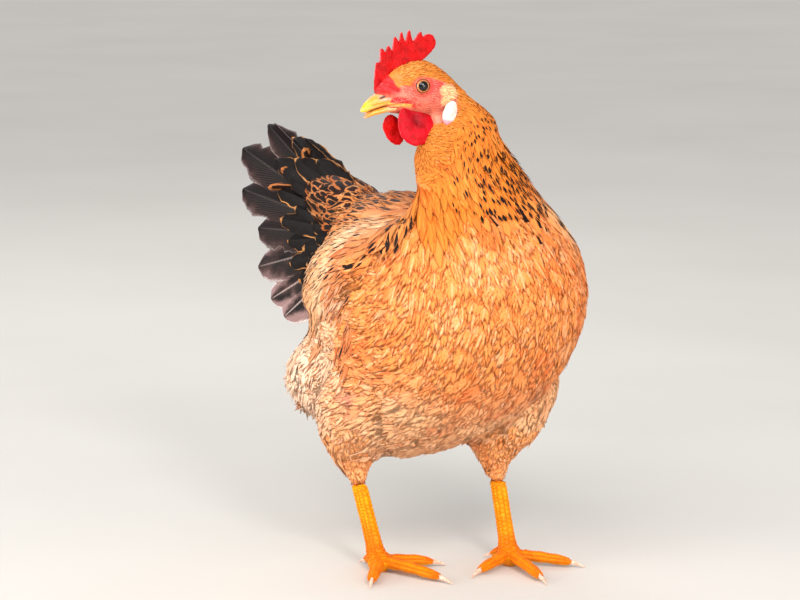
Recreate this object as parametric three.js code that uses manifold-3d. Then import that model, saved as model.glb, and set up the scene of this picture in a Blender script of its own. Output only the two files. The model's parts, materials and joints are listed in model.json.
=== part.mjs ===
// A laying hen, life size, standing alert with the head turned over its right shoulder.
// Millimetres. The hen faces -Y, its left side is +X, Z is up, and the soles stand on Z = 0.
// The plumage is part of each solid: the outlines are those of the feathered bird.
import * as THREE from "three";
import { mergeVertices } from "three/addons/utils/BufferGeometryUtils.js";
import Module from "manifold-3d";

const wasm = await Module();
wasm.setup();

// ---------------------------------------------------------------- driving dimensions
const GAP = 0.3; // clearance between touching sub-parts
const LEFT = 1;
const RIGHT = -1;

// From the rump to the throat, slice by slice. In side view each slice is a straight line from
// the back or nape to the belly, breast or throat: the slices stand upright through the trunk,
// fan forwards into the neck and there turn with the head. Each row holds y, z of the upper end,
// y, z of the lower end, the half width, the share of the way down at which it is widest,
// the sideways shift and the turn in degrees.
const SLICES = [
  [121, 208, 127, 150, 17, 0.5, 0, 0],
  [115, 238, 124, 124, 35, 0.5, 0, 0],
  [102, 263, 111, 102, 49, 0.5, 0, 0],
  [80, 281, 87, 86, 64, 0.5, 0, 0],
  [54, 284, 56, 76, 76, 0.46, 0, 0],
  [28, 283, 22, 83, 84, 0.43, 0, 0],
  [6, 282, -14, 98, 87, 0.42, 0, 0],
  [-3, 283, -46, 115, 88, 0.44, 0, 0],
  [-5, 285, -73, 134, 86, 0.46, 0, 0],
  [-5, 288, -95, 162, 82, 0.48, 0, 0],
  [-4, 292, -110, 190, 78, 0.5, 0, 0],
  [-2, 297, -117, 217, 71, 0.5, 0, 0],
  [0, 302, -110, 243, 62, 0.5, 0, 0],
  [2, 309, -94, 265, 54, 0.5, -2, 0],
  [4, 315, -77, 285, 46, 0.5, -3, -12],
  [10, 323, -62, 302, 38, 0.5, -5, -36],
  [17.5, 332, -56, 318, 30.5, 0.5, -4, -64],
  [18, 342, -49, 335, 21.5, 0.5, -1, -92],
  [4, 353, -36, 349, 16.5, 0.5, -1, -102],
  [-2, 361, -26, 360, 12, 0.5, -4, -105],
];
const TRUNK_POWER = 2.3; // 2 is an oval section, more is squarer
const NECK_FROM = 12; // the slice from which the sections are plain ovals
const NECK_CUT = { at: [0, -59, 259], lean: 23 }; // the plane where the hackle leaves the trunk

const HEAD_AT = [-29, -5.5, 370]; // midway between the eyes
const HEAD_TURN = -105; // degrees, to the hen's right
const HEAD_PITCH = 4; // degrees, bill down
// Along the head, bill forwards: y, half width, crown and jaw heights from the eye line.
const HEAD = [
  [-37, 5, 5, 7],
  [-29, 9.5, 13, 15.5],
  [-17, 13.5, 18.5, 20],
  [-3, 16.5, 21, 24],
  [12, 18, 14.8, 28],
  [27, 16, -0.5, 28],
  [37, 11, -18, 24],
];
const HEAD_CUT = { at: [0, 15, -26], lean: 51 }; // the plane where the face meets the hackle
const EYE = { at: [13.2, -5, 1.5], radius: 6.2 };

// The comb is a plate on the midline, drawn from the bill backwards.
const COMB = { front: -36.4, rear: 14, base: -5.4, thickness: 4.6, bevel: 1.3 };
const COMB_POINTS = [
  // y, z of each tip, and y, z of the notch behind it
  [-29.6, 30.2, -26.4, 26.5],
  [-24, 31.7, -21.4, 26.7],
  [-18.2, 37.7, -15.2, 32.9],
  [-12.9, 40.6, -10.5, 32],
  [-6.6, 41.4, -4.3, 32.5],
  [2.3, 39, 3.9, 34.8],
];

// The bill from its root to its tip: y, half width, heights of the upper and the lower edge.
const UPPER_BILL = [
  [-24, 9.2, -0.8, -10.9],
  [-32, 8, -1.4, -11.4],
  [-40, 5.6, -4.2, -13.2],
  [-45.6, 3.2, -8.2, -14.6],
  [-49, 0.8, -12.4, -14.3],
];
const LOWER_BILL = [
  [-24, 8.6, -11.4, -15.9],
  [-32, 6.9, -11.9, -16.4],
  [-40, 4.7, -13.7, -17.5],
  [-44.5, 2.6, -15.5, -18.7],
  [-46.6, 0.8, -17.5, -19.2],
];
const WATTLES = {
  left: { at: [9.5, -10.2, -28], length: 14.2, depth: 15.4, thickness: 2.6, splay: 14 },
  right: { at: [8.5, -20.3, -31.5], length: 9.8, depth: 12.8, thickness: 2.6, splay: 10 },
};
const LOBE = { at: [17.6, 14, -20.3], length: 5.6, depth: 9, thickness: 2.4 };

// The left foot is set down a stride ahead of the right one. Each leg runs from the middle of
// its foot back to the hock and forwards to the knee; the middle toe points along its heading.
const LEGS = {
  left: { side: LEFT, foot: [44.5, -24], heading: -18, hock: [47.5, -1.5, 80], knee: [59, -17, 150] },
  right: { side: RIGHT, foot: [-44.5, 24], heading: 12, hock: [-43, 58, 80], knee: [-52, 26, 150] },
};
const FULLNESS = { left: 1.2, right: 1.25 }; // how far the thigh feathers puff out
const SHANK = { width: 5, depth: 6, flare: 3.6, knuckle: 1.0 }; // half sizes, ankle and hock
const SOLE_Z = 8.5; // height of the toes' axes at the ball of the foot
const ANKLE_Z = 20; // where the shank is parted from the foot
// Up the thigh: height, and radius before the puffing out.
const THIGH = [
  [62, 6.2],
  [68, 8],
  [76, 10.8],
  [85, 15.2],
  [97, 22.5],
  [120, 30],
  [145, 28],
  [170, 18],
];
const HIP_Z = 122; // where the thigh is parted from the trunk
// The loose fluff that stands out behind each thigh.
const FLUFF = { x: 41, behind: 57, z: 141, size: [35, 62, 39] };

// Each toe: its angle from the middle toe towards the hen's midline, length of flesh and of claw.
const TOES = {
  inner: { angle: 56, length: 42, claw: 11 },
  middle: { angle: 0, length: 58, claw: 12 },
  outer: { angle: -58, length: 47, claw: 10.5 },
  hind: { angle: 160, length: 20, claw: 10 },
};
const TOE = { radius: 4.7, taper: 0.24, tipZ: 4.1, arch: 1.2 };
const KNUCKLES = { inner: 3, middle: 4, outer: 4, hind: 2 };
const CLAW = { radius: 2.5, bedded: 3, tipZ: 0.9 };

// Along the folded wing: y, z of its middle, half height, and how far it stands off the trunk.
const WING = [
  [-38, 268, 4, 3],
  [-20, 262, 11, 7],
  [0, 254, 18, 9],
  [20, 245, 24, 10],
  [45, 232, 31, 10],
  [70, 222, 28, 9],
  [96, 211, 19, 7],
  [118, 201, 7, 4],
];
const WING_TIP_X = 38; // the tips stand off where the rump narrows
const WING_BEDDED = 6; // how deep its inner side lies in the trunk

// The tail is a roof of paired quills that fan out from the rump. From the top pair down:
// the rise, the splay and the reach.
const TAIL_ROOT = [0, 92, 243];
const TAIL = [
  [31.7, 1, 144],
  [23, 8, 148],
  [13, 15, 126],
  [1, 23, 98],
  [-16, 32, 95],
  [-32, 42, 91],
  [-42, 52, 89],
];
const QUILL = { thickness: 2.4, ridge: 1.6, notch: 9, stations: [0.3, 0.9, 1] };
const COVERTS = { at: [0, 118, 260], size: [38, 61, 33], lean: 22 }; // over the quills' roots

// ---------------------------------------------------------------- helpers
const vec = (x, y, z) => new THREE.Vector3(x, y, z);
const rad = THREE.MathUtils.degToRad;

// A smooth function through rows of [t, a, b, ...], giving [a, b, ...] at any t.
function through(rows) {
  const slope = (i, k) => {
    const before = rows[Math.max(i - 1, 0)];
    const after = rows[Math.min(i + 1, rows.length - 1)];
    return (after[k] - before[k]) / (after[0] - before[0]);
  };
  return (t) => {
    let i = 0;
    while (i < rows.length - 2 && t > rows[i + 1][0]) i += 1;
    const span = rows[i + 1][0] - rows[i][0];
    const u = (t - rows[i][0]) / span;
    return rows[i].slice(1).map((_, j) => {
      const k = j + 1;
      const [a, b] = [rows[i][k], rows[i + 1][k]];
      const [ma, mb] = [slope(i, k) * span, slope(i + 1, k) * span];
      const u2 = u * u;
      const u3 = u2 * u;
      return (2 * u3 - 3 * u2 + 1) * a + (u3 - 2 * u2 + u) * ma + (3 * u2 - 2 * u3) * b + (u3 - u2) * mb;
    });
  };
}

// A ring of points round a centre. A section can be deeper below than above.
function ring(at, side, up, { below = 1, power = 2, count = 24, turn = 0 } = {}) {
  const bend = (v) => Math.sign(v) * Math.abs(v) ** (2 / power);
  return Array.from({ length: count }, (_, i) => {
    const a = (2 * Math.PI * i) / count - turn;
    const rise = bend(Math.sin(a));
    return at
      .clone()
      .addScaledVector(side, bend(Math.cos(a)))
      .addScaledVector(up, rise < 0 ? rise * below : rise);
  });
}

// A closed surface over a row of rings, each end drawn together at its middle.
function over(rings) {
  const count = rings[0].length;
  const middle = (points) => points.reduce((sum, p) => sum.add(p), vec(0, 0, 0)).divideScalar(points.length);
  const points = [...rings.flat(), middle(rings[0]), middle(rings.at(-1))];
  const [start, end] = [points.length - 2, points.length - 1];
  const index = [];
  for (let i = 0; i < count; i += 1) {
    const j = (i + 1) % count;
    for (let k = 0; k < rings.length - 1; k += 1) {
      const [a, b] = [k * count, (k + 1) * count];
      index.push(a + i, a + j, b + j, a + i, b + j, b + i);
    }
    const last = (rings.length - 1) * count;
    index.push(start, j, i, end, last + i, last + j);
  }
  const geometry = new THREE.BufferGeometry().setFromPoints(points);
  geometry.setIndex(index);
  return geometry;
}

// A three.js geometry as a solid for joining and cutting, turned outwards if it was inside out.
function solid(geometry) {
  const bare = geometry.clone().deleteAttribute("normal").deleteAttribute("uv");
  const merged = mergeVertices(bare, 1e-4);
  const vertProperties = merged.attributes.position.array;
  const triVerts = new Uint32Array(merged.index.array);
  const make = () => new wasm.Manifold(new wasm.Mesh({ numProp: 3, vertProperties, triVerts }));
  const made = make();
  if (made.volume() > 0) return made;
  for (let i = 0; i < triVerts.length; i += 3) {
    [triVerts[i + 1], triVerts[i + 2]] = [triVerts[i + 2], triVerts[i + 1]];
  }
  return make();
}

function geometryOf(made) {
  const mesh = made.getMesh();
  const geometry = new THREE.BufferGeometry();
  geometry.setAttribute("position", new THREE.BufferAttribute(mesh.vertProperties.slice(), 3));
  geometry.setIndex(new THREE.BufferAttribute(mesh.triVerts.slice(), 1));
  return geometry;
}

const join = (pieces) => pieces.reduce((sum, piece) => sum.add(piece));
const cut = (body, pieces) => pieces.reduce((rest, piece) => rest.subtract(piece), body);

// A large box on the +Z side of a plane that leans about X, as a region to part a body with.
const REGION = 500;
function above({ at, lean, depth = REGION }, lift = 0, frame = new THREE.Matrix4()) {
  const box = new THREE.BoxGeometry(REGION, depth, REGION);
  box.translate(0, 0, REGION / 2 + lift);
  box.rotateX(rad(lean));
  box.translate(...at);
  return solid(box.applyMatrix4(frame));
}

// Everything between two heights.
function slab(bottom, top) {
  const box = new THREE.BoxGeometry(REGION, REGION, top - bottom);
  return solid(box.translate(0, 0, (bottom + top) / 2));
}

// ---------------------------------------------------------------- trunk, neck and head
const sliceAt = through(SLICES.map((row, i) => [i, ...row]));
const powerAt = (i) => THREE.MathUtils.lerp(TRUNK_POWER, 2, THREE.MathUtils.smoothstep(i, 8, NECK_FROM));

function makeBody() {
  const rings = [];
  const stations = 20;
  for (let k = 0; k <= stations; k += 1) {
    const i = ((SLICES.length - 1) * k) / stations;
    const [highY, highZ, lowY, lowZ, width, share, shift, turn] = sliceAt(i);
    const low = vec(shift, lowY, lowZ);
    const middle = vec(shift, highY, highZ).lerp(low, share);
    const below = (1 - share) / share;
    const side = vec(width, 0, 0).applyAxisAngle(vec(0, 0, 1), rad(turn));
    const up = middle.clone().sub(low).divideScalar(below).applyAxisAngle(vec(0, 0, 1), rad(turn));
    rings.push(ring(middle, side, up, { below, power: powerAt(i), count: 18, turn: rad(turn) }));
  }
  return over(rings);
}

// Half width of the trunk at a place on its side: finds the slice that passes through it.
function bodySide(y, z) {
  let [first, last] = [0, SLICES.length - 1];
  for (let step = 0; step < 24; step += 1) {
    const i = (first + last) / 2;
    const [highY, highZ, lowY, lowZ] = sliceAt(i);
    const ahead = (lowZ - highZ) * (y - highY) - (lowY - highY) * (z - highZ);
    if (ahead > 0) first = i;
    else last = i;
  }
  const [highY, highZ, lowY, lowZ, width, share] = sliceAt(first);
  const down = Math.hypot(y - highY, z - highZ) / Math.hypot(lowY - highY, lowZ - highZ);
  const off = Math.min(down < share ? 1 - down / share : (down - share) / (1 - share), 1);
  return width * (1 - off ** powerAt(first)) ** (1 / powerAt(first));
}

const headFrame = new THREE.Group();
headFrame.position.set(...HEAD_AT);
headFrame.rotation.set(rad(HEAD_PITCH), 0, rad(HEAD_TURN), "ZXY");
headFrame.updateMatrixWorld(true);

function makeHead() {
  const along = through(HEAD);
  const rings = [];
  const [front, rear] = [HEAD[0][0], HEAD.at(-1)[0]];
  const stations = 9;
  for (let i = 0; i <= stations; i += 1) {
    const y = front + ((rear - front) * i) / stations;
    const [width, crown, jaw] = along(y);
    rings.push(ring(vec(0, y, 0), vec(width, 0, 0), vec(0, 0, crown), { below: jaw / crown, count: 14 }));
  }
  return over(rings);
}

// ---------------------------------------------------------------- face, modelled in the head's own frame
function makeEye(side, grow = 0) {
  const ball = new THREE.SphereGeometry(EYE.radius + grow, 10, 7);
  ball.rotateZ(Math.PI / 2);
  return ball.translate(side * EYE.at[0], EYE.at[1], EYE.at[2]);
}

function makeComb(grow = 0) {
  const outline = new THREE.Shape();
  outline.moveTo(COMB.front, COMB.base + 3);
  outline.quadraticCurveTo(COMB.front - 1, 8, -34.7, 20.6);
  outline.lineTo(-31.4, 20.5);
  for (const [tipY, tipZ, notchY, notchZ] of COMB_POINTS) {
    outline.lineTo(tipY - 0.8, tipZ - 0.6);
    outline.lineTo(tipY + 0.6, tipZ);
    outline.lineTo(notchY, notchZ);
  }
  outline.bezierCurveTo(6.6, 38.5, 12.6, 38.5, COMB.rear, 31);
  outline.bezierCurveTo(14.6, 26, 7.4, 22, 1, 18);
  outline.quadraticCurveTo(-14, 12, -22, 4);
  outline.lineTo(-30, COMB.base);
  const depth = COMB.thickness - 2 * COMB.bevel;
  const plate = new THREE.ExtrudeGeometry(outline, {
    depth,
    curveSegments: 4,
    bevelThickness: COMB.bevel + grow,
    bevelSize: COMB.bevel / 2 + grow,
    bevelOffset: -COMB.bevel / 2,
    bevelSegments: 1,
  });
  plate.translate(0, 0, -depth / 2);
  // The outline was drawn in (y, z): stand it up along the head's midline.
  const stand = new THREE.Matrix4().makeBasis(vec(0, 1, 0), vec(0, 0, 1), vec(1, 0, 0));
  return plate.applyMatrix4(stand);
}

function makeBill(rows, grow = 0) {
  const rings = rows.map(([y, width, top, bottom]) => {
    const up = vec(0, 0, (top - bottom) / 2 + grow);
    return ring(vec(0, y, (top + bottom) / 2), vec(width + grow, 0, 0), up, { power: 2.2, count: 10 });
  });
  return over(rings);
}

// A flap of skin: an oval leaf that hangs from its top edge.
function makeFlap({ at, length, depth, thickness, splay = 0 }, side, grow = 0) {
  const leaf = new THREE.SphereGeometry(1, 10, 7);
  leaf.scale(thickness + grow, length + grow, depth + grow);
  leaf.rotateY(-side * rad(splay));
  return leaf.translate(side * at[0], at[1], at[2]);
}

// ---------------------------------------------------------------- legs
function makeThigh(name, { grow = 0, bottom = THIGH[0][0], top = THIGH.at(-1)[0] } = {}) {
  const { foot, hock, knee } = LEGS[name];
  const radiusAt = through(THIGH);
  const shankLean = (hock[1] - foot[1]) / hock[2];
  const stations = Math.round((top - bottom) / 12);
  const rings = [];
  for (let i = 0; i <= stations; i += 1) {
    const z = THREE.MathUtils.lerp(bottom, top, i / stations);
    const up = Math.max((z - hock[2]) / (knee[2] - hock[2]), 0);
    const x = THREE.MathUtils.lerp(hock[0], knee[0], up);
    // Below the hock the feathers follow the shank's own lean.
    const y = THREE.MathUtils.lerp(hock[1], knee[1], up) - Math.max(hock[2] - z, 0) * shankLean;
    const puffed = THREE.MathUtils.lerp(1, FULLNESS[name], THREE.MathUtils.smoothstep(z, 66, 86));
    const radius = radiusAt(z)[0] * puffed;
    const [side, ahead] = [vec(radius * 0.94 + grow, 0, 0), vec(0, radius * 1.06 + grow, 0)];
    rings.push(ring(vec(x, y, z), side, ahead, { count: 12 }));
  }
  return over(rings);
}

function makeFluff(name) {
  const { side, knee } = LEGS[name];
  const lump = new THREE.SphereGeometry(1, 10, 7).scale(...FLUFF.size);
  return lump.translate(side * FLUFF.x, knee[1] / 2 + FLUFF.behind, FLUFF.z);
}

function makeShank({ foot, hock }) {
  const rings = [];
  const stations = 5;
  for (let i = 0; i <= stations; i += 1) {
    const u = i / stations;
    const centre = vec(...foot, 4).lerp(vec(...hock), u);
    const swell = SHANK.flare * Math.max(1 - u * 3.2, 0) ** 2 + SHANK.knuckle * Math.max(u * 5 - 4, 0);
    rings.push(ring(centre, vec(SHANK.width + swell, 0, 0), vec(0, SHANK.depth + swell, 0), { count: 10 }));
  }
  return over(rings);
}

const footFrame = ({ foot, heading }) =>
  new THREE.Matrix4().makeRotationZ(rad(heading)).setPosition(foot[0], foot[1], 0);

// Where a toe's axis lies at a share of its length, in the foot's frame, and which way it runs.
function toeAxis(name, side) {
  const { angle, length } = TOES[name];
  const heading = rad(-side * angle);
  const ahead = vec(Math.sin(heading), -Math.cos(heading), 0);
  const hind = name === "hind";
  return {
    ahead,
    across: vec(ahead.y, -ahead.x, 0),
    at: (share) => {
      const height = hind ? [SOLE_Z + 4.5, 5] : [SOLE_Z - 1, TOE.tipZ];
      const arch = hind ? 0 : TOE.arch * Math.sin(Math.PI * share);
      const z = THREE.MathUtils.lerp(...height, share) + arch;
      return ahead.clone().multiplyScalar(share * length).setZ(z);
    },
  };
}

// A toe is a tapering row of pads, each joint a little swollen, and flat where it is stood on.
function makeToe(name, side) {
  const { across, at } = toeAxis(name, side);
  const stations = 2 * KNUCKLES[name];
  const rings = [];
  for (let i = 0; i <= stations; i += 1) {
    const share = i / stations;
    const end = 1 - 0.35 * Math.max(share * 10 - 9, 0) ** 2;
    const swell = 1 + 0.07 * Math.cos(2 * Math.PI * share * KNUCKLES[name]);
    const radius = TOE.radius * (1 - TOE.taper * share) * swell * end;
    const section = ring(at(share), across.clone().multiplyScalar(radius), vec(0, 0, radius), { count: 6 });
    rings.push(section.map((point) => point.setZ(Math.max(point.z, 0))));
  }
  return over(rings);
}

function makeBall() {
  const ball = new THREE.SphereGeometry(1, 8, 6).scale(9.4, 9, 8.6);
  return ball.translate(0, 0, SOLE_Z - 1.5);
}

// A claw: a tapering horn that curves down to the floor.
function makeClaw(name, side, grow = 0) {
  const { ahead, across, at } = toeAxis(name, side);
  const root = at(1).addScaledVector(ahead, -CLAW.bedded);
  const rings = [];
  const stations = 4;
  for (let i = 0; i <= stations; i += 1) {
    const u = i / stations;
    const radius = CLAW.radius * (1 - 0.86 * u ** 1.4) + grow;
    const centre = root.clone().addScaledVector(ahead, u * (TOES[name].claw + CLAW.bedded));
    centre.z = THREE.MathUtils.lerp(root.z + 0.4, CLAW.tipZ, u ** 2.2);
    rings.push(ring(centre, across.clone().multiplyScalar(radius * 0.8), vec(0, 0, radius), { count: 5 }));
  }
  return over(rings);
}

// ---------------------------------------------------------------- wings and tail
// A folded wing is a thin shield that follows the trunk's side and is bedded a little in it.
function makeWing(side, grow = 0) {
  const along = through(WING);
  const [front, rear] = [WING[0][0] - grow, WING.at(-1)[0] + grow];
  const [stations, outer, inner] = [10, 6, 2];
  const rings = [];
  for (let i = 0; i <= stations; i += 1) {
    const y = THREE.MathUtils.lerp(front, rear, i / stations);
    const [middle, half, off] = along(y);
    const at = (rise, out) => {
      const z = middle + rise * (half + grow);
      return vec(side * (Math.max(bodySide(y, z), WING_TIP_X) + out), y, z);
    };
    const section = [];
    for (let k = 0; k <= outer; k += 1) {
      const a = (Math.PI * k) / outer;
      section.push(at(-Math.cos(a), 1 + grow + off * Math.sin(a) ** 0.8));
    }
    for (let k = 0; k <= inner; k += 1) section.push(at(1 - (2 * k) / inner, -WING_BEDDED - grow));
    rings.push(section);
  }
  return over(rings);
}

// One side of the tail: a thin fan, notched between the quills and ridged along each shaft.
function makeFan(side, grow = 0) {
  const along = through(TAIL.map((row, i) => [i, ...row]));
  const root = vec(...TAIL_ROOT);
  const at = (i, share, station) => {
    const [rise, splay, reach] = along(i);
    const level = Math.cos(rad(rise));
    const ahead = vec(side * Math.sin(rad(splay)) * level, Math.cos(rad(splay)) * level, Math.sin(rad(rise)));
    const notch = QUILL.notch * Math.abs(Math.sin(Math.PI * station)) ** 3;
    const end = share === 1 ? grow : -grow;
    return ahead.multiplyScalar(share * (reach - notch) + end).add(root);
  };
  const rings = [];
  const [first, last] = [-0.5, TAIL.length - 0.5];
  for (let station = first; station <= last; station += 0.25) {
    const past = { [first]: -1, [last]: 1 }[station] ?? 0; // only the outer edges move along the fan
    const i = station + past * grow * 0.2;
    const ridge = QUILL.ridge * Math.abs(Math.cos(Math.PI * station));
    const strip = QUILL.stations.map((share) => {
      const middle = at(i, share, station);
      const step = at(i + 0.1, share, station).sub(at(i - 0.1, share, station));
      const out = step.cross(middle.clone().sub(root));
      out.multiplyScalar(side).normalize();
      const offset = (depth) => middle.clone().addScaledVector(out, ridge + depth);
      return [offset(QUILL.thickness / 2 + grow), offset(-QUILL.thickness / 2 - grow)];
    });
    rings.push([...strip.map(([outer]) => outer), ...strip.reverse().map(([, inner]) => inner)]);
  }
  return over(rings);
}

function makeCoverts(grow = 0) {
  const lump = new THREE.SphereGeometry(1, 12, 8).scale(...COVERTS.size.map((size) => size + grow));
  return lump.rotateX(rad(COVERTS.lean)).translate(...COVERTS.at);
}

// ---------------------------------------------------------------- colours
const finish = (color, roughness) => new THREE.MeshStandardMaterial({ color, roughness, metalness: 0 });
const MATERIALS = {
  breast: finish(0xe08a45, 0.85),
  hackle: finish(0xd98a35, 0.8),
  crown: finish(0xd98a40, 0.8),
  wing: finish(0xd9a06a, 0.8),
  tail: finish(0x2a1c18, 0.6),
  fluff: finish(0xe3a579, 0.9),
  comb: finish(0xc8101a, 0.45),
  lobe: finish(0xf0e4dc, 0.5),
  horn: finish(0xe0b040, 0.4),
  eye: finish(0x3a1a0c, 0.08),
  shank: finish(0xe8960c, 0.5),
  claw: finish(0xd8a890, 0.45),
};

// ---------------------------------------------------------------- assembly
const hen = new THREE.Group();

function place(name, made, material) {
  const mesh = new THREE.Mesh(geometryOf(made), MATERIALS[material]);
  mesh.name = name;
  hen.add(mesh);
}

const NAMES = Object.keys(LEGS);
const inHead = (geometry) => solid(geometry.applyMatrix4(headFrame.matrixWorld));
const wholeTail = (grow = 0) => join([makeCoverts(grow), makeFan(LEFT, grow), makeFan(RIGHT, grow)].map(solid));
const wholeWing = (name, grow = 0) => solid(makeWing(LEGS[name].side, grow));

// The pieces set into the face, and the same grown by the gap as the hollows they sit in.
const facePieces = (grow = 0) => ({
  bill_upper: [makeBill(UPPER_BILL, grow), "horn"],
  bill_lower: [makeBill(LOWER_BILL, grow), "horn"],
  comb: [makeComb(grow), "comb"],
  ...Object.assign(
    ...NAMES.map((name) => ({
      [`eye_${name}`]: [makeEye(LEGS[name].side, grow), "eye"],
      [`wattle_${name}`]: [makeFlap(WATTLES[name], LEGS[name].side, grow), "comb"],
      [`earlobe_${name}`]: [makeFlap(LOBE, LEGS[name].side, grow), "lobe"],
    })),
  ),
});
const hollows = Object.values(facePieces(GAP)).map(([geometry]) => inHead(geometry));
// Where two of them meet, the later one gives way.
Object.entries(facePieces()).forEach(([name, [geometry, material]], i) => {
  place(name, cut(inHead(geometry), hollows.slice(0, i)), material);
});

// Head, neck, trunk and thighs are modelled whole and parted by thin cuts.
const trunk = join([makeBody(), ...NAMES.map(makeFluff)].map(solid));
const flesh = join([trunk, inHead(makeHead()), ...NAMES.map((name) => solid(makeThigh(name)))]);
const wingBeds = NAMES.map((name) => wholeWing(name, GAP));
const hackle = { ...NECK_CUT, depth: 240 };
const hip = (name, grow = 0) => {
  const around = { grow: 3 + grow, bottom: THIGH[0][0] - 4, top: HIP_Z + grow };
  return solid(makeThigh(name, around));
};

place("head", cut(flesh.intersect(above(HEAD_CUT, GAP / 2, headFrame.matrixWorld)), hollows), "crown");
const headAndUp = above(HEAD_CUT, -GAP / 2, headFrame.matrixWorld);
place("neck", cut(flesh.intersect(above(hackle, GAP / 2)), [headAndUp, ...hollows, ...wingBeds]), "hackle");
const hackleAndUp = above(hackle, -GAP / 2);
const hips = NAMES.map((name) => hip(name, GAP));
place("trunk", cut(flesh, [headAndUp, hackleAndUp, wholeTail(GAP), ...wingBeds, ...hips]), "breast");
place("tail", wholeTail(), "tail");

for (const name of NAMES) {
  place(`wing_${name}`, cut(wholeWing(name), [wholeTail(GAP)]), "wing");
  place(`thigh_${name}`, flesh.intersect(hip(name)), "fluff");

  const leg = LEGS[name];
  const shank = solid(makeShank(leg));
  const sleeve = solid(makeThigh(name, { grow: GAP }));
  place(`shank_${name}`, cut(shank, [slab(-REGION, ANKLE_Z), sleeve]), "shank");

  const frame = footFrame(leg);
  const inFoot = (geometry) => solid(geometry.applyMatrix4(frame));
  const toes = Object.keys(TOES).map((toe) => inFoot(makeToe(toe, leg.side)));
  const beds = Object.keys(TOES).map((toe) => inFoot(makeClaw(toe, leg.side, GAP)));
  const ankle = shank.intersect(slab(-REGION, ANKLE_Z - GAP));
  const foot = join([...toes, ankle, inFoot(makeBall())]);
  place(`foot_${name}`, cut(foot, [slab(-REGION, 0), ...beds]), "shank");
  for (const toe of Object.keys(TOES)) {
    place(`claw_${toe}_${name}`, cut(inFoot(makeClaw(toe, leg.side)), [slab(-REGION, 0)]), "claw");
  }
}

// The frame's origin is on the floor, under the middle of the bounding box.
const bounds = new THREE.Box3().setFromObject(hen);
const middle = bounds.getCenter(vec(0, 0, 0));
hen.position.set(-middle.x, -middle.y, -bounds.min.z);

export default hen;
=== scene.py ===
# %% [markdown]
# # A laying hen, life size
#
# This lesson dresses the plain solids of a hen. The solids give the outline of the feathered bird. Here
# they get one skin that lies under that outline by the depth of the plumage, then feathers of every tract
# laid over it, and the bare parts: comb, wattles, bill, eyes, scaled legs and claws.

# %% Load the frame
import json
import math

import bmesh
import bpy
import numpy as np
from mathutils import Matrix, Vector, noise
from mathutils.bvhtree import BVHTree
from mathutils.kdtree import KDTree

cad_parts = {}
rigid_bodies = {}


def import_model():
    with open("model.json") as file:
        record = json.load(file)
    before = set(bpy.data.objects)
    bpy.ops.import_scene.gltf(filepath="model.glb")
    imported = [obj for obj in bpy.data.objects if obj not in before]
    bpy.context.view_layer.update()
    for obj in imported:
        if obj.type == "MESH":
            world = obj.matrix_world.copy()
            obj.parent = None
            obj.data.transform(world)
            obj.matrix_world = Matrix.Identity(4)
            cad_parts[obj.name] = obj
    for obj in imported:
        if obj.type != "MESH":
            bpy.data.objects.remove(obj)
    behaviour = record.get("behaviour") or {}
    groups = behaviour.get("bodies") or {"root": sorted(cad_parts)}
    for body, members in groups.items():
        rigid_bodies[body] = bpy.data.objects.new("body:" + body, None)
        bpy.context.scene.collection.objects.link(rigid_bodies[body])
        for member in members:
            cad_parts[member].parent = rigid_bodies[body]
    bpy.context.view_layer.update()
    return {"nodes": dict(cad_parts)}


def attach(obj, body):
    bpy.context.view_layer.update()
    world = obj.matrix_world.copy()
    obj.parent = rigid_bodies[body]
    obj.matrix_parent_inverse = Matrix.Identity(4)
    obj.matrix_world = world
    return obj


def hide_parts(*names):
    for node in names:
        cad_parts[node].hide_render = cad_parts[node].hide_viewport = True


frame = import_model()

rng = np.random.default_rng(7)
MM = 0.001
print("nodes", len(frame["nodes"]))

# %% [markdown]
# ## The sizes shared with the solids
#
# The body is a loft. Each row below is one slice through it, from the rump to the throat, and the same rows
# made the solids. A skin could be painted with regions by hand, but the loft already knows where every
# point lies: how far along the bird (the station) and how far round it (the angle). So the rows are kept,
# and feathers ask them for their direction.

# %% The loft
SHIFT_Y = -55.998  # the table below has its origin between the feet, the frame under the middle of the box
# y, z of the upper end, y, z of the lower end, half width, share of the widest level, sideways shift, turn
SLICES = np.array([
    [121, 208, 127, 150, 17, 0.5, 0, 0],
    [115, 238, 124, 124, 35, 0.5, 0, 0],
    [102, 263, 111, 102, 49, 0.5, 0, 0],
    [80, 281, 87, 86, 64, 0.5, 0, 0],
    [54, 284, 56, 76, 76, 0.46, 0, 0],
    [28, 283, 22, 83, 84, 0.43, 0, 0],
    [6, 282, -14, 98, 87, 0.42, 0, 0],
    [-3, 283, -46, 115, 88, 0.44, 0, 0],
    [-5, 285, -73, 134, 86, 0.46, 0, 0],
    [-5, 288, -95, 162, 82, 0.48, 0, 0],
    [-4, 292, -110, 190, 78, 0.5, 0, 0],
    [-2, 297, -117, 217, 71, 0.5, 0, 0],
    [0, 302, -110, 243, 62, 0.5, 0, 0],
    [2, 309, -94, 265, 54, 0.5, -2, 0],
    [4, 315, -77, 285, 46, 0.5, -3, -12],
    [10, 323, -62, 302, 38, 0.5, -5, -36],
    [17.5, 332, -56, 318, 30.5, 0.5, -4, -64],
    [18, 342, -49, 335, 21.5, 0.5, -1, -92],
    [4, 353, -36, 349, 16.5, 0.5, -1, -102],
    [-2, 361, -26, 360, 12, 0.5, -4, -105],
], float)
LAST = len(SLICES) - 1


def spot(x, y, z):
    """A point of the table, in millimetres, as a point of the frame, in metres."""
    return Vector((x, y + SHIFT_Y, z)) * MM


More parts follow.
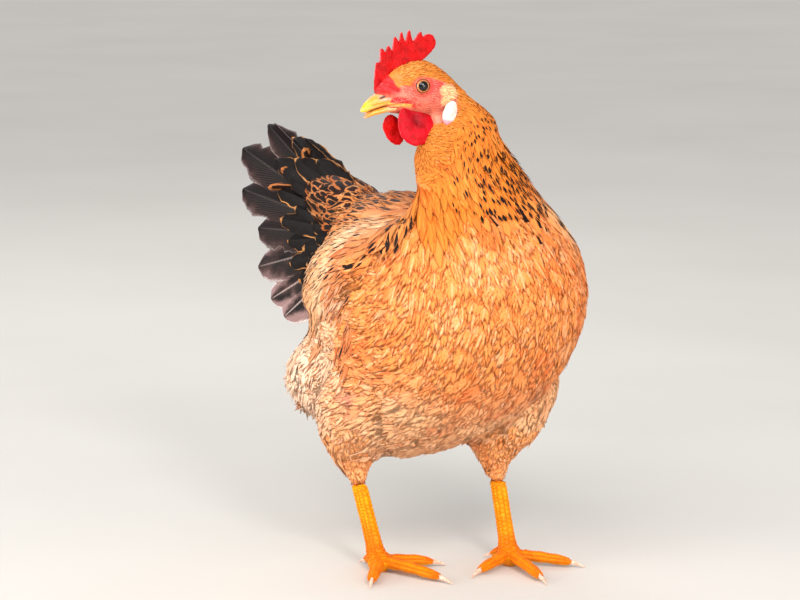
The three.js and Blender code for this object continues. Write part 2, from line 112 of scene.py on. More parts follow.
def slice_at(station):
    """The row at any station, smoothly between the rows."""
    i = int(np.clip(station, 0, LAST - 1e-6))
    u = station - i
    before, after = SLICES[max(i - 1, 0)], SLICES[min(i + 2, LAST)]
    a, b = SLICES[i], SLICES[i + 1]
    ma = (b - before) / (2 if i > 0 else 1)
    mb = (after - a) / (2 if i + 2 <= LAST else 1)
    return (
        (2 * u**3 - 3 * u**2 + 1) * a
        + (u**3 - 2 * u**2 + u) * ma
        + (3 * u**2 - 2 * u**3) * b
        + (u**3 - u**2) * mb
    )


def loft_point(station, angle):
    """The point of the outline at a station and an angle: 0 is the hen's left, 90 its back."""
    high_y, high_z, low_y, low_z, width, share, shift, turn = slice_at(station)
    power = 2.3 - 0.3 * float(np.clip((station - 8) / 4, 0, 1))
    turn = math.radians(turn)
    a = math.radians(angle) - turn
    bent = [math.copysign(abs(v) ** (2 / power), v) for v in (math.cos(a), math.sin(a))]
    low = Vector((0, low_y, low_z))
    middle = Vector((0, high_y, high_z)).lerp(low, share)
    below = (1 - share) / share
    up = (middle - low) / below * bent[1] * (below if bent[1] < 0 else 1)
    out = Matrix.Rotation(turn, 3, "Z") @ (Vector((width * bent[0], 0, 0)) + up)
    return middle + out + Vector((shift, 0, 0))


chart_rows = []
for station in np.arange(0.25, LAST, 0.25):
    for angle in range(0, 360, 10):
        here = loft_point(station, angle)
        ahead = loft_point(max(station - 0.35, 0), angle) - loft_point(min(station + 0.35, LAST), angle)
        chart_rows.append((station, angle, spot(*here), ahead.normalized()))
chart_tree = KDTree(len(chart_rows))
for i, (_, _, here, _) in enumerate(chart_rows):
    chart_tree.insert(here, i)
chart_tree.balance()
print("chart", len(chart_rows), "places")

# %% [markdown]
# ## The head's own frame
#
# The head is turned over the right shoulder. Its pieces are easiest to think of with the bill pointing
# forwards, so one matrix takes head millimetres to the frame: the bill along -Y, the hen's left +X.

# %% Head frame
HEAD = (
    Matrix.Translation(spot(-29, -5.5, 370))
    @ Matrix.Rotation(math.radians(-105), 4, "Z")
    @ Matrix.Rotation(math.radians(4), 4, "X")
)
HEAD_MM = HEAD @ Matrix.Scale(MM, 4)
TO_HEAD = HEAD_MM.inverted()
EYE_AT = Vector((13.2, -5, 1.5))
EYE_RADIUS = 6.2
FACE_EDGE = (Vector((0, 15, -26)), Vector((0, -math.sin(math.radians(51)), math.cos(math.radians(51)))))


def through(matrix, points):
    """Many points through one matrix."""
    m = np.array(matrix)
    return np.asarray(points, float) @ m[:3, :3].T + m[:3, 3]


def mirrored(v, side):
    """The head's v on the hen's left, side 1, or right, side -1."""
    return (side * v.x, v.y, v.z)


def smooth_step(value, low, high):
    """0 at low, 1 at high, smooth between. Low may be above high."""
    t = np.clip((np.asarray(value, float) - low) / (high - low), 0, 1)
    return t * t * (3 - 2 * t)


# %% [markdown]
# ## Camera, floor and light
#
# The camera stands low and far off with a long lens, as one would to portray a bird without bending it.
# The floor is plain, pale and wide enough to fill the view. One soft sun from near the camera stands in for
# a bright day, so that the floor is lit evenly, and soft square lamps fill the sides and lift the dark tail.

# %% Camera, floor and lights
CAMERA_AT = Vector((-1.58493, -1.94484, 0.61362))
CAMERA_AZIMUTH, CAMERA_ELEVATION = math.radians(-39.2055), math.radians(9.3794)
SUN_AZIMUTH, SUN_ELEVATION = math.radians(-62), math.radians(40)
HEN_MIDDLE = Vector((0, 0, 0.2))

back = Vector((
    math.sin(CAMERA_AZIMUTH) * math.cos(CAMERA_ELEVATION),
    -math.cos(CAMERA_AZIMUTH) * math.cos(CAMERA_ELEVATION),
    math.sin(CAMERA_ELEVATION),
))
right = Vector((math.cos(CAMERA_AZIMUTH), math.sin(CAMERA_AZIMUTH), 0))
camera_data = bpy.data.cameras.new("camera")
camera_data.lens = 150
camera_data.sensor_width = 36
camera = bpy.data.objects.new("camera", camera_data)
camera_turn = Matrix((right, back.cross(right), back)).transposed().to_4x4()
camera.matrix_world = Matrix.Translation(CAMERA_AT) @ camera_turn
bpy.context.scene.collection.objects.link(camera)
bpy.context.scene.camera = camera


def lamp(name, azimuth, elevation, distance, size, watts, colour=(1, 1, 1)):
    """A square soft lamp that looks at the hen's middle."""
    data = bpy.data.lights.new(name, "AREA")
    data.size = size
    data.energy = watts
    data.color = colour
    lamp_object = bpy.data.objects.new(name, data)
    a, e = math.radians(azimuth), math.radians(elevation)
    towards = Vector((math.sin(a) * math.cos(e), -math.cos(a) * math.cos(e), math.sin(e)))
    lamp_object.location = HEN_MIDDLE + towards * distance
    lamp_object.rotation_euler = towards.to_track_quat("Z", "Y").to_euler()
    bpy.context.scene.collection.objects.link(lamp_object)


sun_data = bpy.data.lights.new("sun", "SUN")
sun_data.energy, sun_data.angle, sun_data.color = 1.65, math.radians(40), (1, 0.97, 0.92)
sun = bpy.data.objects.new("sun", sun_data)
towards_sun = Vector((math.sin(SUN_AZIMUTH), -math.cos(SUN_AZIMUTH), math.tan(SUN_ELEVATION)))
sun.rotation_euler = towards_sun.to_track_quat("Z", "Y").to_euler()
bpy.context.scene.collection.objects.link(sun)
lamp("fill", -8, 3, 1.8, 1.2, 20, (1, 0.97, 0.93))
lamp("catch", -24, 32, 1.6, 0.36, 11)
lamp("side", -108, 8, 1.9, 1.1, 27, (1, 0.96, 0.91))
lamp("rim", 165, 45, 1.9, 1.0, 9)

# %% [markdown]
# ## A kit for nodes
#
# Every material and every Geometry Nodes tree below is built in the script. Linking sockets one by one takes
# many lines and hides the sums, so a small class wraps a socket, and an expression on wires adds its Math
# nodes. One method makes any other node from its type, its settings and what goes into its sockets.

# %% Node kit
class Wire:
    """A socket in a node tree, so that node maths reads as an expression."""

    def __init__(self, tree, socket):
        self.tree, self.socket = tree, socket

    def math(self, operation, *others):
        return self.tree.node("ShaderNodeMath", {"operation": operation}, dict(enumerate((self, *others))))

    def __add__(self, other):
        return self.math("ADD", other)

    def __radd__(self, other):
        return self.math("ADD", other)

    def __sub__(self, other):
        return self.math("SUBTRACT", other)

    def __rsub__(self, other):
        return self.tree.node("ShaderNodeMath", {"operation": "SUBTRACT"}, {0: other, 1: self})

    def __mul__(self, other):
        return self.math("MULTIPLY", other)

    def __rmul__(self, other):
        return self.math("MULTIPLY", other)

    def __truediv__(self, other):
        return self.math("DIVIDE", other)

    def __pow__(self, other):
        return self.math("POWER", other)

    def size(self):
        return self.math("ABSOLUTE")

    def step(self, low, high):
        """0 below low, 1 above high, smooth between; the other way round if low is above high."""
        settings = {"interpolation_type": "SMOOTHSTEP"}
        first, last = (0.0, 1.0) if low < high else (1.0, 0.0)
        inputs = {0: self, 1: min(low, high), 2: max(low, high), 3: first, 4: last}
        return self.tree.node("ShaderNodeMapRange", settings, inputs)

    def out(self, name):
        return Wire(self.tree, self.socket.node.outputs[name])


class Graph:
    """Builds nodes in one tree."""

    def __init__(self, tree):
        self.tree = tree

    def node(self, kind, settings=None, inputs=None, output=0):
        """A node of a kind: its settings first, such as a ramp's stops, then its inputs. Gives one output."""
        made = self.tree.nodes.new(kind)
        for key, value in (settings or {}).items():
            if key == "stops":
                ramp = made.color_ramp
                while len(ramp.elements) < len(value):
                    ramp.elements.new(0.5)
                for element, (place, colour) in zip(ramp.elements, value):
                    element.position, element.color = place, (*colour, 1)
            else:
                setattr(made, key, value)
        for key, value in (inputs or {}).items():
            self.feed(made.inputs[key], value)
        return Wire(self, made.outputs[output]) if made.outputs else None

    def feed(self, socket, value):
        if isinstance(value, Wire):
            self.tree.links.new(value.socket, socket)
        else:
            socket.default_value = value

    def mix(self, a, b, share):
        """Colours a and b, b by its share."""
        a, b = [v if isinstance(v, Wire) else (*v, 1) for v in (a, b)]
        inputs = {0: share, 6: a, 7: b}
        return self.node("ShaderNodeMix", {"data_type": "RGBA"}, inputs, 2)

    def times(self, a, b, share=1.0):
        """Colour a darkened or tinted by colour b."""
        a, b = [v if isinstance(v, Wire) else (*v, 1) for v in (a, b)]
        settings = {"data_type": "RGBA", "blend_type": "MULTIPLY"}
        return self.node("ShaderNodeMix", settings, {0: share, 6: a, 7: b}, 2)


def tone(code):
    """A colour written as RRGGBB, made linear."""
    parts = [int(code[i : i + 2], 16) / 255 for i in (0, 2, 4)]
    return tuple(c / 12.92 if c <= 0.04045 else ((c + 0.055) / 1.055) ** 2.4 for c in parts)


class Paint(Graph):
    """A material being built."""

    def __init__(self, name, **constants):
        self.material = bpy.data.materials.new(name)
        self.material.use_nodes = True
        super().__init__(self.material.node_tree)
        self.shader = self.tree.nodes["Principled BSDF"]
        for key, value in constants.items():
            self.shader.inputs[key.replace("_", " ").title().replace("Ior", "IOR")].default_value = value

    def attribute(self, name, output="Fac"):
        return self.node("ShaderNodeAttribute", {"attribute_name": name}, {}, output)

    def place(self):
        return self.node("ShaderNodeTexCoord", {}, {}, "Object")

    def noise(self, scale, detail=2.0, where=None, rough=0.5):
        inputs = {"Vector": where or self.place(), "Scale": scale, "Detail": detail, "Roughness": rough}
        return self.node("ShaderNodeTexNoise", {}, inputs)

    def finish(self, colour, roughness=None, height=None, strength=0.4, distance=0.0004, normal=None):
        self.feed(self.shader.inputs["Base Color"], colour if isinstance(colour, Wire) else (*colour, 1))
        if roughness is not None:
            self.feed(self.shader.inputs["Roughness"], roughness)
        if height is not None:
            inputs = {"Height": height, "Strength": strength, "Distance": distance}
            if normal:
                inputs["Normal"] = normal
            self.feed(self.shader.inputs["Normal"], self.node("ShaderNodeBump", {}, inputs))
        return self.material


# %% Floor and sky
floor_paint = Paint("studio_floor")
floor_shade = floor_paint.mix(tone("CBC7C0"), tone("D6D3CD"), floor_paint.noise(3.0))
floor_paint.finish(floor_shade, 0.85, floor_paint.noise(220.0, 3.0), 0.1)
bpy.ops.mesh.primitive_plane_add(size=60)
floor = bpy.context.object
floor.name = "studio_floor"
floor.data.materials.append(floor_paint.material)

world = bpy.data.worlds.new("studio")
bpy.context.scene.world = world
world.use_nodes = True
world.node_tree.nodes["Background"].inputs["Color"].default_value = (0.93, 0.95, 1.0, 1)
world.node_tree.nodes["Background"].inputs["Strength"].default_value = 0.55
bpy.context.scene.view_settings.view_transform = "Standard"
print("stage set")

# %% [markdown]
# ## One skin
#
# Under its feathers a hen is one continuous body. The head, neck, trunk, thighs and wings were parted by
# thin cuts in the solids, so copies of them are swollen until they overlap, joined with a stub for the tail,
# and remeshed into a single shell of even small faces. Sculpting by hand would also do, but this way the
# skin keeps the solids' exact proportions. It is then smoothed, and drawn in by the depth of the plumage.

# %% Joined and remeshed flesh
FLESH = ["head", "neck", "trunk", "thigh_left", "thigh_right", "wing_left", "wing_right"]
VOXEL = 0.0024
SWELL = 0.0004  # closes the thin cuts between the solids


def object_of(name, mesh):
    made = bpy.data.objects.new(name, mesh)
    bpy.context.scene.collection.objects.link(made)
    return made


def mesh_of(name, points, faces):
    """A smooth mesh from points and faces."""
    mesh = bpy.data.meshes.new(name)
    mesh.from_pydata([tuple(p) for p in points], [], [tuple(int(i) for i in f) for f in faces])
    mesh.shade_smooth()
    return mesh


def store_field(mesh, key, values):
    """Keeps a number, a vector or a colour for each point of a mesh, as an attribute."""
    values = np.asarray(values, np.float32)
    columns = 1 if values.ndim == 1 else values.shape[1]
    kind, slot = {1: ("FLOAT", "value"), 3: ("FLOAT_VECTOR", "vector"), 4: ("FLOAT_COLOR", "color")}[columns]
    mesh.attributes.new(key, kind, "POINT").data.foreach_set(slot, values.ravel())


def shell_of(names, swell=0.0, extra=None):
    """Copies of CAD nodes with merged points, swollen a little, in one mesh."""
    together = bmesh.new()
    for name in names:
        piece = bmesh.new()
        piece.from_mesh(frame["nodes"][name].data)
        bmesh.ops.remove_doubles(piece, verts=piece.verts, dist=1e-6)
        piece.normal_update()
        for v in piece.verts:
            v.co += v.normal * swell
        copy = bpy.data.meshes.new("copy")
        piece.to_mesh(copy)
        piece.free()
        together.from_mesh(copy)
        bpy.data.meshes.remove(copy)
    if extra:
        extra(together)
    mesh = bpy.data.meshes.new("shell")
    together.to_mesh(mesh)
    together.free()
    return mesh


def evaluated(made):
    """The object's mesh with its modifiers applied, in place of it."""
    bpy.context.view_layer.update()
    graph = bpy.context.evaluated_depsgraph_get()
    mesh = bpy.data.meshes.new_from_object(made.evaluated_get(graph))
    made.modifiers.clear()
    made.data = mesh
    return mesh


def remeshed(name, mesh, voxel):
    made = object_of(name, mesh)
    step = made.modifiers.new("remesh", "REMESH")
    step.mode = "VOXEL"
    step.voxel_size = voxel
    evaluated(made)
    return made


def arrays(mesh):
    """Vertex positions and normals."""
    co = np.empty(len(mesh.vertices) * 3)
    mesh.vertices.foreach_get("co", co)
    out = np.empty(len(mesh.vertices) * 3)
    mesh.vertex_normals.foreach_get("vector", out)
    return co.reshape(-1, 3), out.reshape(-1, 3)


def move_to(mesh, co):
    mesh.vertices.foreach_set("co", np.ascontiguousarray(co, float).ravel())
    mesh.update()


def edge_ends(mesh):
    """The first and the second vertex of every edge."""
    edges = np.empty(len(mesh.edges) * 2, int)
    mesh.edges.foreach_get("vertices", edges)
    return edges.reshape(-1, 2).T


def neighbour_sum(values, a, b):
    """For each vertex, the sum of its neighbours' rows, over the edges from a to b."""
    n = len(values)
    return np.stack([np.bincount(a, column[b], n) + np.bincount(b, column[a], n) for column in values.T], 1)


def relax(mesh, rounds, share=0.5, keep=False):
    """Each vertex drifts to the middle of its neighbours, by its own share. To keep the volume, every second
    round goes back a little further than the one before it came."""
    co, _ = arrays(mesh)
    a, b = edge_ends(mesh)
    count = np.bincount(np.concatenate((a, b)), minlength=len(co))[:, None]
    share = np.broadcast_to(np.asarray(share, float), (len(co),))[:, None]
    for turn in range(rounds):
        pull = -1.06 if keep and turn % 2 else 1
        co += pull * share * (neighbour_sum(co, a, b) / count - co)
    move_to(mesh, co)


TAIL_STUB = {"at": (0, 112, 260), "size": (22, 56, 24), "lean": 18}
# y, half width, top and bottom, in head millimetres
CERE = [(-17, 11, 3.6, -20.6), (-24, 10.6, 1.6, -18.4), (-28, 9.8, 0.4, -17.9), (-30.5, 7.6, -1.8, -15.8)]


def add_stubs(together):
    """The fleshy tail root that the tail coverts grow from, and the cere that the bill grows from."""
    rings = []
    turns = [math.radians(30 * k) for k in range(12)]
    for y, half, top, bottom in CERE:
        middle, deep = (top + bottom) / 2, (top - bottom) / 2
        round_it = [(half * math.cos(a), y, middle + deep * math.sin(a)) for a in turns]
        rings.append([together.verts.new(HEAD_MM @ Vector(p)) for p in round_it])
    for before, after in zip(rings, rings[1:]):
        for k in range(12):
            together.faces.new((before[k], before[k - 1], after[k - 1], after[k]))
    together.faces.new(rings[0])
    together.faces.new(rings[-1][::-1])
    lean = Matrix.Rotation(math.radians(TAIL_STUB["lean"]), 4, "X")
    size = Matrix.Diagonal((*(v * MM for v in TAIL_STUB["size"]), 1))
    bmesh.ops.create_icosphere(
        together, subdivisions=3, radius=1, matrix=Matrix.Translation(spot(*TAIL_STUB["at"])) @ lean @ size
    )


skin = remeshed("skin", shell_of(FLESH, SWELL, add_stubs), VOXEL)


def headness(points, low=-14, high=0):
    """1 on the head, 0 on the hackle and below."""
    off_cut = (through(TO_HEAD, points) - FACE_EDGE[0]) @ np.array(FACE_EDGE[1])
    return smooth_step(off_cut, low, high) * (points[:, 2] > 0.3)


relax(skin.data, 12, 0.5 - 0.4 * headness(arrays(skin.data)[0]))
relax(skin.data, 60, 0.5 - 0.33 * headness(arrays(skin.data)[0]), keep=True)
print("skin", len(skin.data.vertices), "points")

# %% [markdown]
# ## The face
#
# The face shows its skin, so it needs finer faces than the rest: lids, the fold at the corner of the mouth
# and the hollow before the eye. Its faces are split twice, then the points are moved by a few plain rules
# in the head's frame: over the eye they rise to the ball to make the lids, inside the opening they sink
# behind the ball, and along the gape they sink into a fold.

# %% Sculpt the face
def split_head(mesh, rounds):
    """Splits the faces of the head's bare part and crown."""
    bm = bmesh.new()
    bm.from_mesh(mesh)
    for _ in range(rounds):
        bm.verts.ensure_lookup_table()
        co = np.array([v.co for v in bm.verts])
        fine = headness(co) > 0.25
        fine &= through(TO_HEAD, co)[:, 1] < 24
        edges = [e for e in bm.edges if fine[e.verts[0].index] and fine[e.verts[1].index]]
        bmesh.ops.subdivide_edges(bm, edges=edges, cuts=1, use_grid_fill=True)
        bmesh.ops.triangulate(bm, faces=[f for f in bm.faces if len(f.verts) > 4])
    bm.normal_update()
    bm.to_mesh(mesh)
    bm.free()


GAZE = Vector((1, -0.2, 0.05)).normalized()
OPENING = 4.95  # radius of the eye's opening
LID_RISE, LID_EDGE = 0.55, 5.9  # how far the lids stand over the ball, and where they slope away
GAPE = [(-32, -11.7), (-24, -10.9), (-18.5, -10.4), (-12.5, -11)]  # y, z of the mouth's corner fold


def sculpt_face(h):
    """Moves points of the face, given in head millimetres."""
    for side in (1, -1):
        gaze = np.array(mirrored(GAZE, side))
        from_eye = h - mirrored(EYE_AT, side)
        up = from_eye @ gaze
        flat = from_eye - up[:, None] * gaze
        reach = np.sqrt((flat[:, 1] * 0.94) ** 2 + flat[:, 2] ** 2 + flat[:, 0] ** 2)
        near = (h[:, 0] * side > 4) & (reach < 13)
        ball = np.sqrt(np.maximum(EYE_RADIUS**2 - reach**2, 0))
        lid = np.sqrt((EYE_RADIUS + LID_RISE) ** 2 - np.minimum(reach, LID_EDGE) ** 2)
        lid -= 0.75 * np.maximum(reach - LID_EDGE, 0)
        lid -= 0.45 * np.exp(-(((reach - 6.9) / 0.45) ** 2))  # the furrow round the lids
        lid += 0.35 * np.exp(-(((reach - 7.8) / 0.5) ** 2))
        hold = 1 - smooth_step(reach, 6.2, 9.8)
        wanted = np.where(reach < OPENING, ball - 1.6, up * (1 - hold) + lid * hold)
        h = h + np.where(near, wanted - up, 0)[:, None] * gaze

        gape = np.interp(h[:, 1], [y for y, _ in GAPE], [z for _, z in GAPE])
        along = smooth_step(h[:, 1], -34, -28) * (1 - smooth_step(h[:, 1], -15, -11))
        across = h[:, 2] - gape
        fold = 0.5 * np.exp(-(((np.abs(across) - 1.5) / 0.7) ** 2)) - 1.1 * np.exp(-((across / 0.55) ** 2))
        cheek = 1.3 * np.exp(-(((h[:, 1] + 1) / 8) ** 2) - ((h[:, 2] + 14) / 6) ** 2)
        lores = -1.1 * np.exp(-(((h[:, 1] + 17) / 5) ** 2) - ((h[:, 2] + 1) / 5) ** 2)
        brow = smooth_step(-h[:, 1], 20, 24) * smooth_step(h[:, 2], -4, 0)
        waves = 0.6 * np.sin((h[:, 2] + 0.5 * h[:, 1]) * 1.1) + 0.5
        wrinkles = waves * brow * (1 - smooth_step(h[:, 2], 6, 12))
        out = np.where(h[:, 0] * side > 3, fold * along + cheek + lores + wrinkles, 0)
        h = h + out[:, None] * np.array((side, 0, 0))
    return h


# The nape is smoothed first, because the neck's and the head's solids meet there at an angle.
from_nape = through(TO_HEAD, arrays(skin.data)[0]) - (0, 30, 0)
relax(skin.data, 40, 0.6 * np.exp(-((from_nape[:, 1] / 11) ** 2) - (from_nape[:, 2] / 22) ** 2))
split_head(skin.data, 2)
outline, _ = arrays(skin.data)
relax(skin.data, 4, 0.5 * headness(outline, -6, 4))
outline, _ = arrays(skin.data)
face_share = headness(outline, -4, 4)[:, None]
sculpted = through(HEAD_MM, sculpt_face(through(TO_HEAD, outline)))
move_to(skin.data, outline + (sculpted - outline) * face_share)
print("skin", len(skin.data.vertices), "points after the face")

# %% [markdown]
# ## Where everything lies
#
# Feathers change by region, so every point of the skin is asked where it is: its station and angle on the
# loft, its place in the head's frame, and which solid it came from. The lie of the feathers is the lines of
# the loft, from the head over the back and breast to the rump. On the head they run back from the bill, on
# the wings back and down, and on the thighs down.

# %% Chart of the skin
part_trees = {}
for name in FLESH:
    source = shell_of([name])
    places, sides = [v.co for v in source.vertices], [p.vertices for p in source.polygons]
    part_trees[name] = BVHTree.FromPolygons(places, sides)
    bpy.data.meshes.remove(source)


def chart(points):
    """Station, angle, lie and nearest solid of many points."""
    station, angle = np.empty(len(points)), np.empty(len(points))
    lie = np.empty((len(points), 3))
    part = np.empty(len(points), int)
    for i, p in enumerate(points):
        found = chart_tree.find_n(Vector(p), 4)
        weights = np.array([1 / (d + 0.002) ** 2 for _, _, d in found])
        weights /= weights.sum()
        rows = [chart_rows[j] for _, j, _ in found]
        station[i] = sum(w * row[0] for w, row in zip(weights, rows))
        turn = sum(w * np.exp(1j * math.radians(row[1])) for w, row in zip(weights, rows))
        angle[i] = math.degrees(np.angle(turn)) % 360
        lie[i] = sum(w * np.array(row[3]) for w, row in zip(weights, rows))
        distances = [part_trees[name].find_nearest(Vector(p))[3] for name in FLESH]
        part[i] = int(np.argmin(distances))
    return station, angle, lie, part


outline, outline_normal = arrays(skin.data)
station, angle, lie, part = chart(outline)
in_head = through(TO_HEAD, outline)
in_table = outline / MM - (0, SHIFT_Y, 0)
on_head = headness(outline, -8, 2)
print("stations", station.min().round(1), "to", station.max().round(1))


def spread(mesh, values, rounds):
    """A field on the points of a mesh, smoothed over it."""
    a, b = edge_ends(mesh)
    values = np.asarray(values, float)
    flat = values.reshape(len(values), -1).copy()
    count = np.bincount(np.concatenate((a, b)), minlength=len(flat))[:, None]
    for _ in range(rounds):
        flat = 0.5 * flat + 0.5 * neighbour_sum(flat, a, b) / count
    return flat.reshape(values.shape)


# %% [markdown]
# ## The feather tracts
#
# A hen's feathers grow in tracts, each with its own size and cut: bristles on the face, tiny feathers on the
# crown, long pointed hackles down the neck, broad soft ones on breast and back, firm coverts on the wings,
# loose fluff on belly and thighs, and curved coverts round the tail. Each tract below is a mask over the
# skin. The masks add up to one, so that sizes and colours pass softly from one tract into the next.

# %% Tract masks
TRACTS = ["face", "crown", "hackle", "breast", "back", "wing", "fluff", "tail"]
elev = np.sin(np.radians(angle))
hx, hy, hz = in_head.T
tx, ty, tz = in_table.T

# Where the face ends: above, as (y, z) of the head, and behind, as (z, y).
CROWN_LINE = [
    (-60, 40), (-31, 30), (-28, 12), (-24.5, 4), (-22, 1.6), (-16, 4.5),
    (-9.4, 8.5), (-1.3, 8), (5.4, 5), (12, 2.6), (21, -0.4), (40, -4),
]
FACE_REAR = [(-40, -34), (-31, -12), (-27.5, 4), (-24.5, 14), (-17.7, 20.2), (-9.8, 21.4), (0, 20.5)]


def blob(at, size, turn=0.0):
    """1 at a place of the face, falling to 0 over its size, both given as (y, z) of the head."""
    c, s = math.cos(math.radians(turn)), math.sin(math.radians(turn))
    dy, dz = hy - at[0], hz - at[1]
    return np.exp(-(((dy * c + dz * s) / size[0]) ** 2) - ((dz * c - dy * s) / size[1]) ** 2)


under_crown = np.interp(hy, [y for y, _ in CROWN_LINE], [z for _, z in CROWN_LINE]) - hz
before_rear = np.interp(hz, [z for z, _ in FACE_REAR], [y for _, y in FACE_REAR]) - hy
bare = smooth_step(under_crown, -0.7, 0.7) * smooth_step(before_rear, -0.8, 0.8) * on_head
tufted = smooth_step(np.maximum(blob((14, -4.5), (8, 6), -25), 0.9 * blob((12, -12), (4.5, 5))), 0.35, 0.6)
bare *= 1 - 0.95 * tufted  # small pale feathers hide the ear

thigh_like = (part == FLESH.index("thigh_left")) | (part == FLESH.index("thigh_right"))
thigh_share = spread(skin.data, thigh_like, 6)
stub_turn = Matrix.Rotation(math.radians(-TAIL_STUB["lean"]), 3, "X")
from_stub = (in_table - TAIL_STUB["at"]) @ np.array(stub_turn).T / TAIL_STUB["size"]
stub_like = (np.linalg.norm(from_stub, axis=1) < 1.12) & (from_stub[:, 1] > -0.55)

mask = {"face": bare, "crown": on_head * (1 - bare)}
rest = 1 - on_head
mask["tail"] = rest * spread(skin.data, stub_like, 6)
rest = rest - mask["tail"]
wing_front = np.interp(tz, [185, 200, 212, 250, 271, 285], [14, -2, -10, -9, -16, -30])
wing_low = np.interp(ty, [-12, 26, 60, 100, 125], [200, 196, 190, 186, 184])
wing_high = np.interp(ty, [-20, 0, 20, 45, 70, 96, 118], [277, 274, 270, 264, 252, 233, 212])
mask["wing"] = rest * smooth_step(ty - wing_front, -5, 5) * smooth_step(tz - wing_low, -4, 4)
mask["wing"] *= smooth_step(wing_high - tz, -4, 4) * smooth_step(np.abs(tx), 30, 45) * (station < 13)
rest = rest - mask["wing"]
cape = 12.2 + 1.9 * smooth_step(-elev, -0.1, 0.9)
mask["hackle"] = rest * smooth_step(station, cape - 0.4, cape + 0.5)
rest = rest - mask["hackle"]
under_belly = smooth_step(-elev, 0.45, 0.75) * (1 - smooth_step(station, 7.2, 9))
behind = (1 - smooth_step(station, 4.6, 6)) * (1 - smooth_step(elev, 0.1, 0.5))
mask["fluff"] = rest * np.maximum(np.maximum(under_belly, behind), thigh_share)
rest = rest - mask["fluff"]
mask["back"] = rest * smooth_step(elev, 0.35, 0.7)
mask["breast"] = rest - mask["back"]
masks = np.stack([mask[name] for name in TRACTS], 1)
masks /= masks.sum(1, keepdims=True)
print({name: round(float(masks[:, i].mean()), 3) for i, name in enumerate(TRACTS)})

# %% [markdown]
# ## Sizes, lie and colours of the tracts
#
# For every tract: how long and half how wide a feather is, how far apart feathers stand, and how far their
# tips rise off the skin, all in millimetres. On the neck they grow from the throat's fine ones to the long
# points of the cape. The skin is then drawn in by that rise, so that the coat's tips end at the outline. The
# back of the turned neck has a hollow under the nape. There the feathers stand off further and bridge it.

# %% Sizes
#         long, half width, gap, rise
SIZES = {
    "face": (2.4, 0.2, 1.5, 0.2),
    "crown": (5.6, 1.0, 1.55, 0.9),
    "hackle": (40, 4.0, 4.4, 3.6),
    "breast": (31, 7.6, 5.0, 2.8),
    "back": (34, 4.6, 4.4, 3.0),
    "wing": (34, 3.6, 3.9, 3.2),
    "fluff": (33, 8.0, 4.9, 3.8),
    "tail": (37, 4.8, 4.4, 2.4),
}
HACKLE_AT = {  # by station
    11: (46, 4.0, 5.0, 3.6),
    13: (40, 3.4, 4.4, 3.2),
    15: (30, 2.6, 3.6, 2.4),
    17: (18, 1.9, 2.5, 1.6),
    19: (9, 1.2, 1.6, 1.1),
}
hackle_sizes = np.stack([
    np.interp(station, list(HACKLE_AT), column) for column in zip(*HACKLE_AT.values())
], 1)
sizes = np.zeros((len(outline), 4))
for i, name in enumerate(TRACTS):
    sizes += masks[:, i : i + 1] * (hackle_sizes if name == "hackle" else np.array(SIZES[name]))
thigh_near = spread(skin.data, thigh_like, 4)
hock = np.interp(tz, [62, 112], [0.3, 1]) ** thigh_near  # feathers get smaller towards the hock
sizes[:, 0] *= 0.45 + 0.55 * hock
sizes[:, 0] *= 1 + 0.95 * mask["wing"] * (1 - smooth_step(tz - wing_low, 4, 40))
sizes[:, 0] *= 1 - 0.25 * mask["hackle"] * smooth_step(-elev, 0.2, 0.9) * (1 - smooth_step(station, 14.5, 16))
sizes[:, 0] *= 1 - 0.65 * thigh_near * smooth_step(-outline_normal[:, 2], 0.3, 0.7)
sizes[:, 1:3] *= (0.6 + 0.4 * hock)[:, None]
sizes[:, 3] *= hock
sizes = spread(skin.data, sizes, 3)


def tangent(vectors, normals):
    """Vectors laid flat on the surface, of length one."""
    flat = vectors - normals * (vectors * normals).sum(1, keepdims=True)
    return flat / np.maximum(np.linalg.norm(flat, axis=1, keepdims=True), 1e-9)


head_turn = np.array(HEAD.to_3x3())
back_over = np.stack([np.zeros_like(hx), np.ones_like(hx), -0.12 - 0.5 * smooth_step(-hz, -12, 12)], 1)
back_over = back_over @ head_turn.T
fan_out = in_table - (0, -20, 222)
fan_out /= np.linalg.norm(fan_out, axis=1, keepdims=True)
hang = smooth_step(250 - tz - 0.3 * ty, -15, 40)  # the lower wing feathers hang
lies = lie.copy()
for share, wanted in (
    (mask["fluff"] * (1 - smooth_step(station, 3, 6)), np.array((0, 0.45, -0.9))),
    (thigh_share * (1 - on_head), np.array((0, 0.25, -1))),
    (mask["wing"], np.stack([0 * ty, 0.9 - 0.5 * hang, -0.45 - 0.45 * hang], 1)),
    (mask["tail"], fan_out),
    (smooth_step(on_head, 0.1, 0.6), back_over),
):
    lies = lies * (1 - share[:, None]) + wanted * share[:, None]
lies = tangent(spread(skin.data, lies, 4), outline_normal)

inset = (sizes[:, 3] + 0.4) * (1 - mask["tail"]) * MM
inset = spread(skin.data, inset, 4)
lumps = [noise.noise(Vector(p) * 62.0) + 0.6 * noise.noise(Vector(p) * 130.0) for p in outline]
soft_share = (mask["breast"] + mask["fluff"] * 1.6) * np.minimum(1, hock)
inset += np.array(lumps) * soft_share * MM
leftward = 0.775 * tx - 0.632 * ty  # towards the side that the back of the turned neck faces
hollow = np.exp(-(((leftward - 38) / 14) ** 2) - ((tz - 328) / 10) ** 2)
sizes[:, 3] += 3.2 * mask["hackle"] * hollow  # feathers bridge the hollow under the nape
move_to(skin.data, outline - outline_normal * inset[:, None])
relax(skin.data, 3, 0.4 * (1 - on_head))
under, skin_normal = arrays(skin.data)
skin_normal = tangent(spread(skin.data, skin_normal, 3), np.zeros_like(under))
print("skin drawn in by up to", (inset.max() / MM).round(1), "mm")

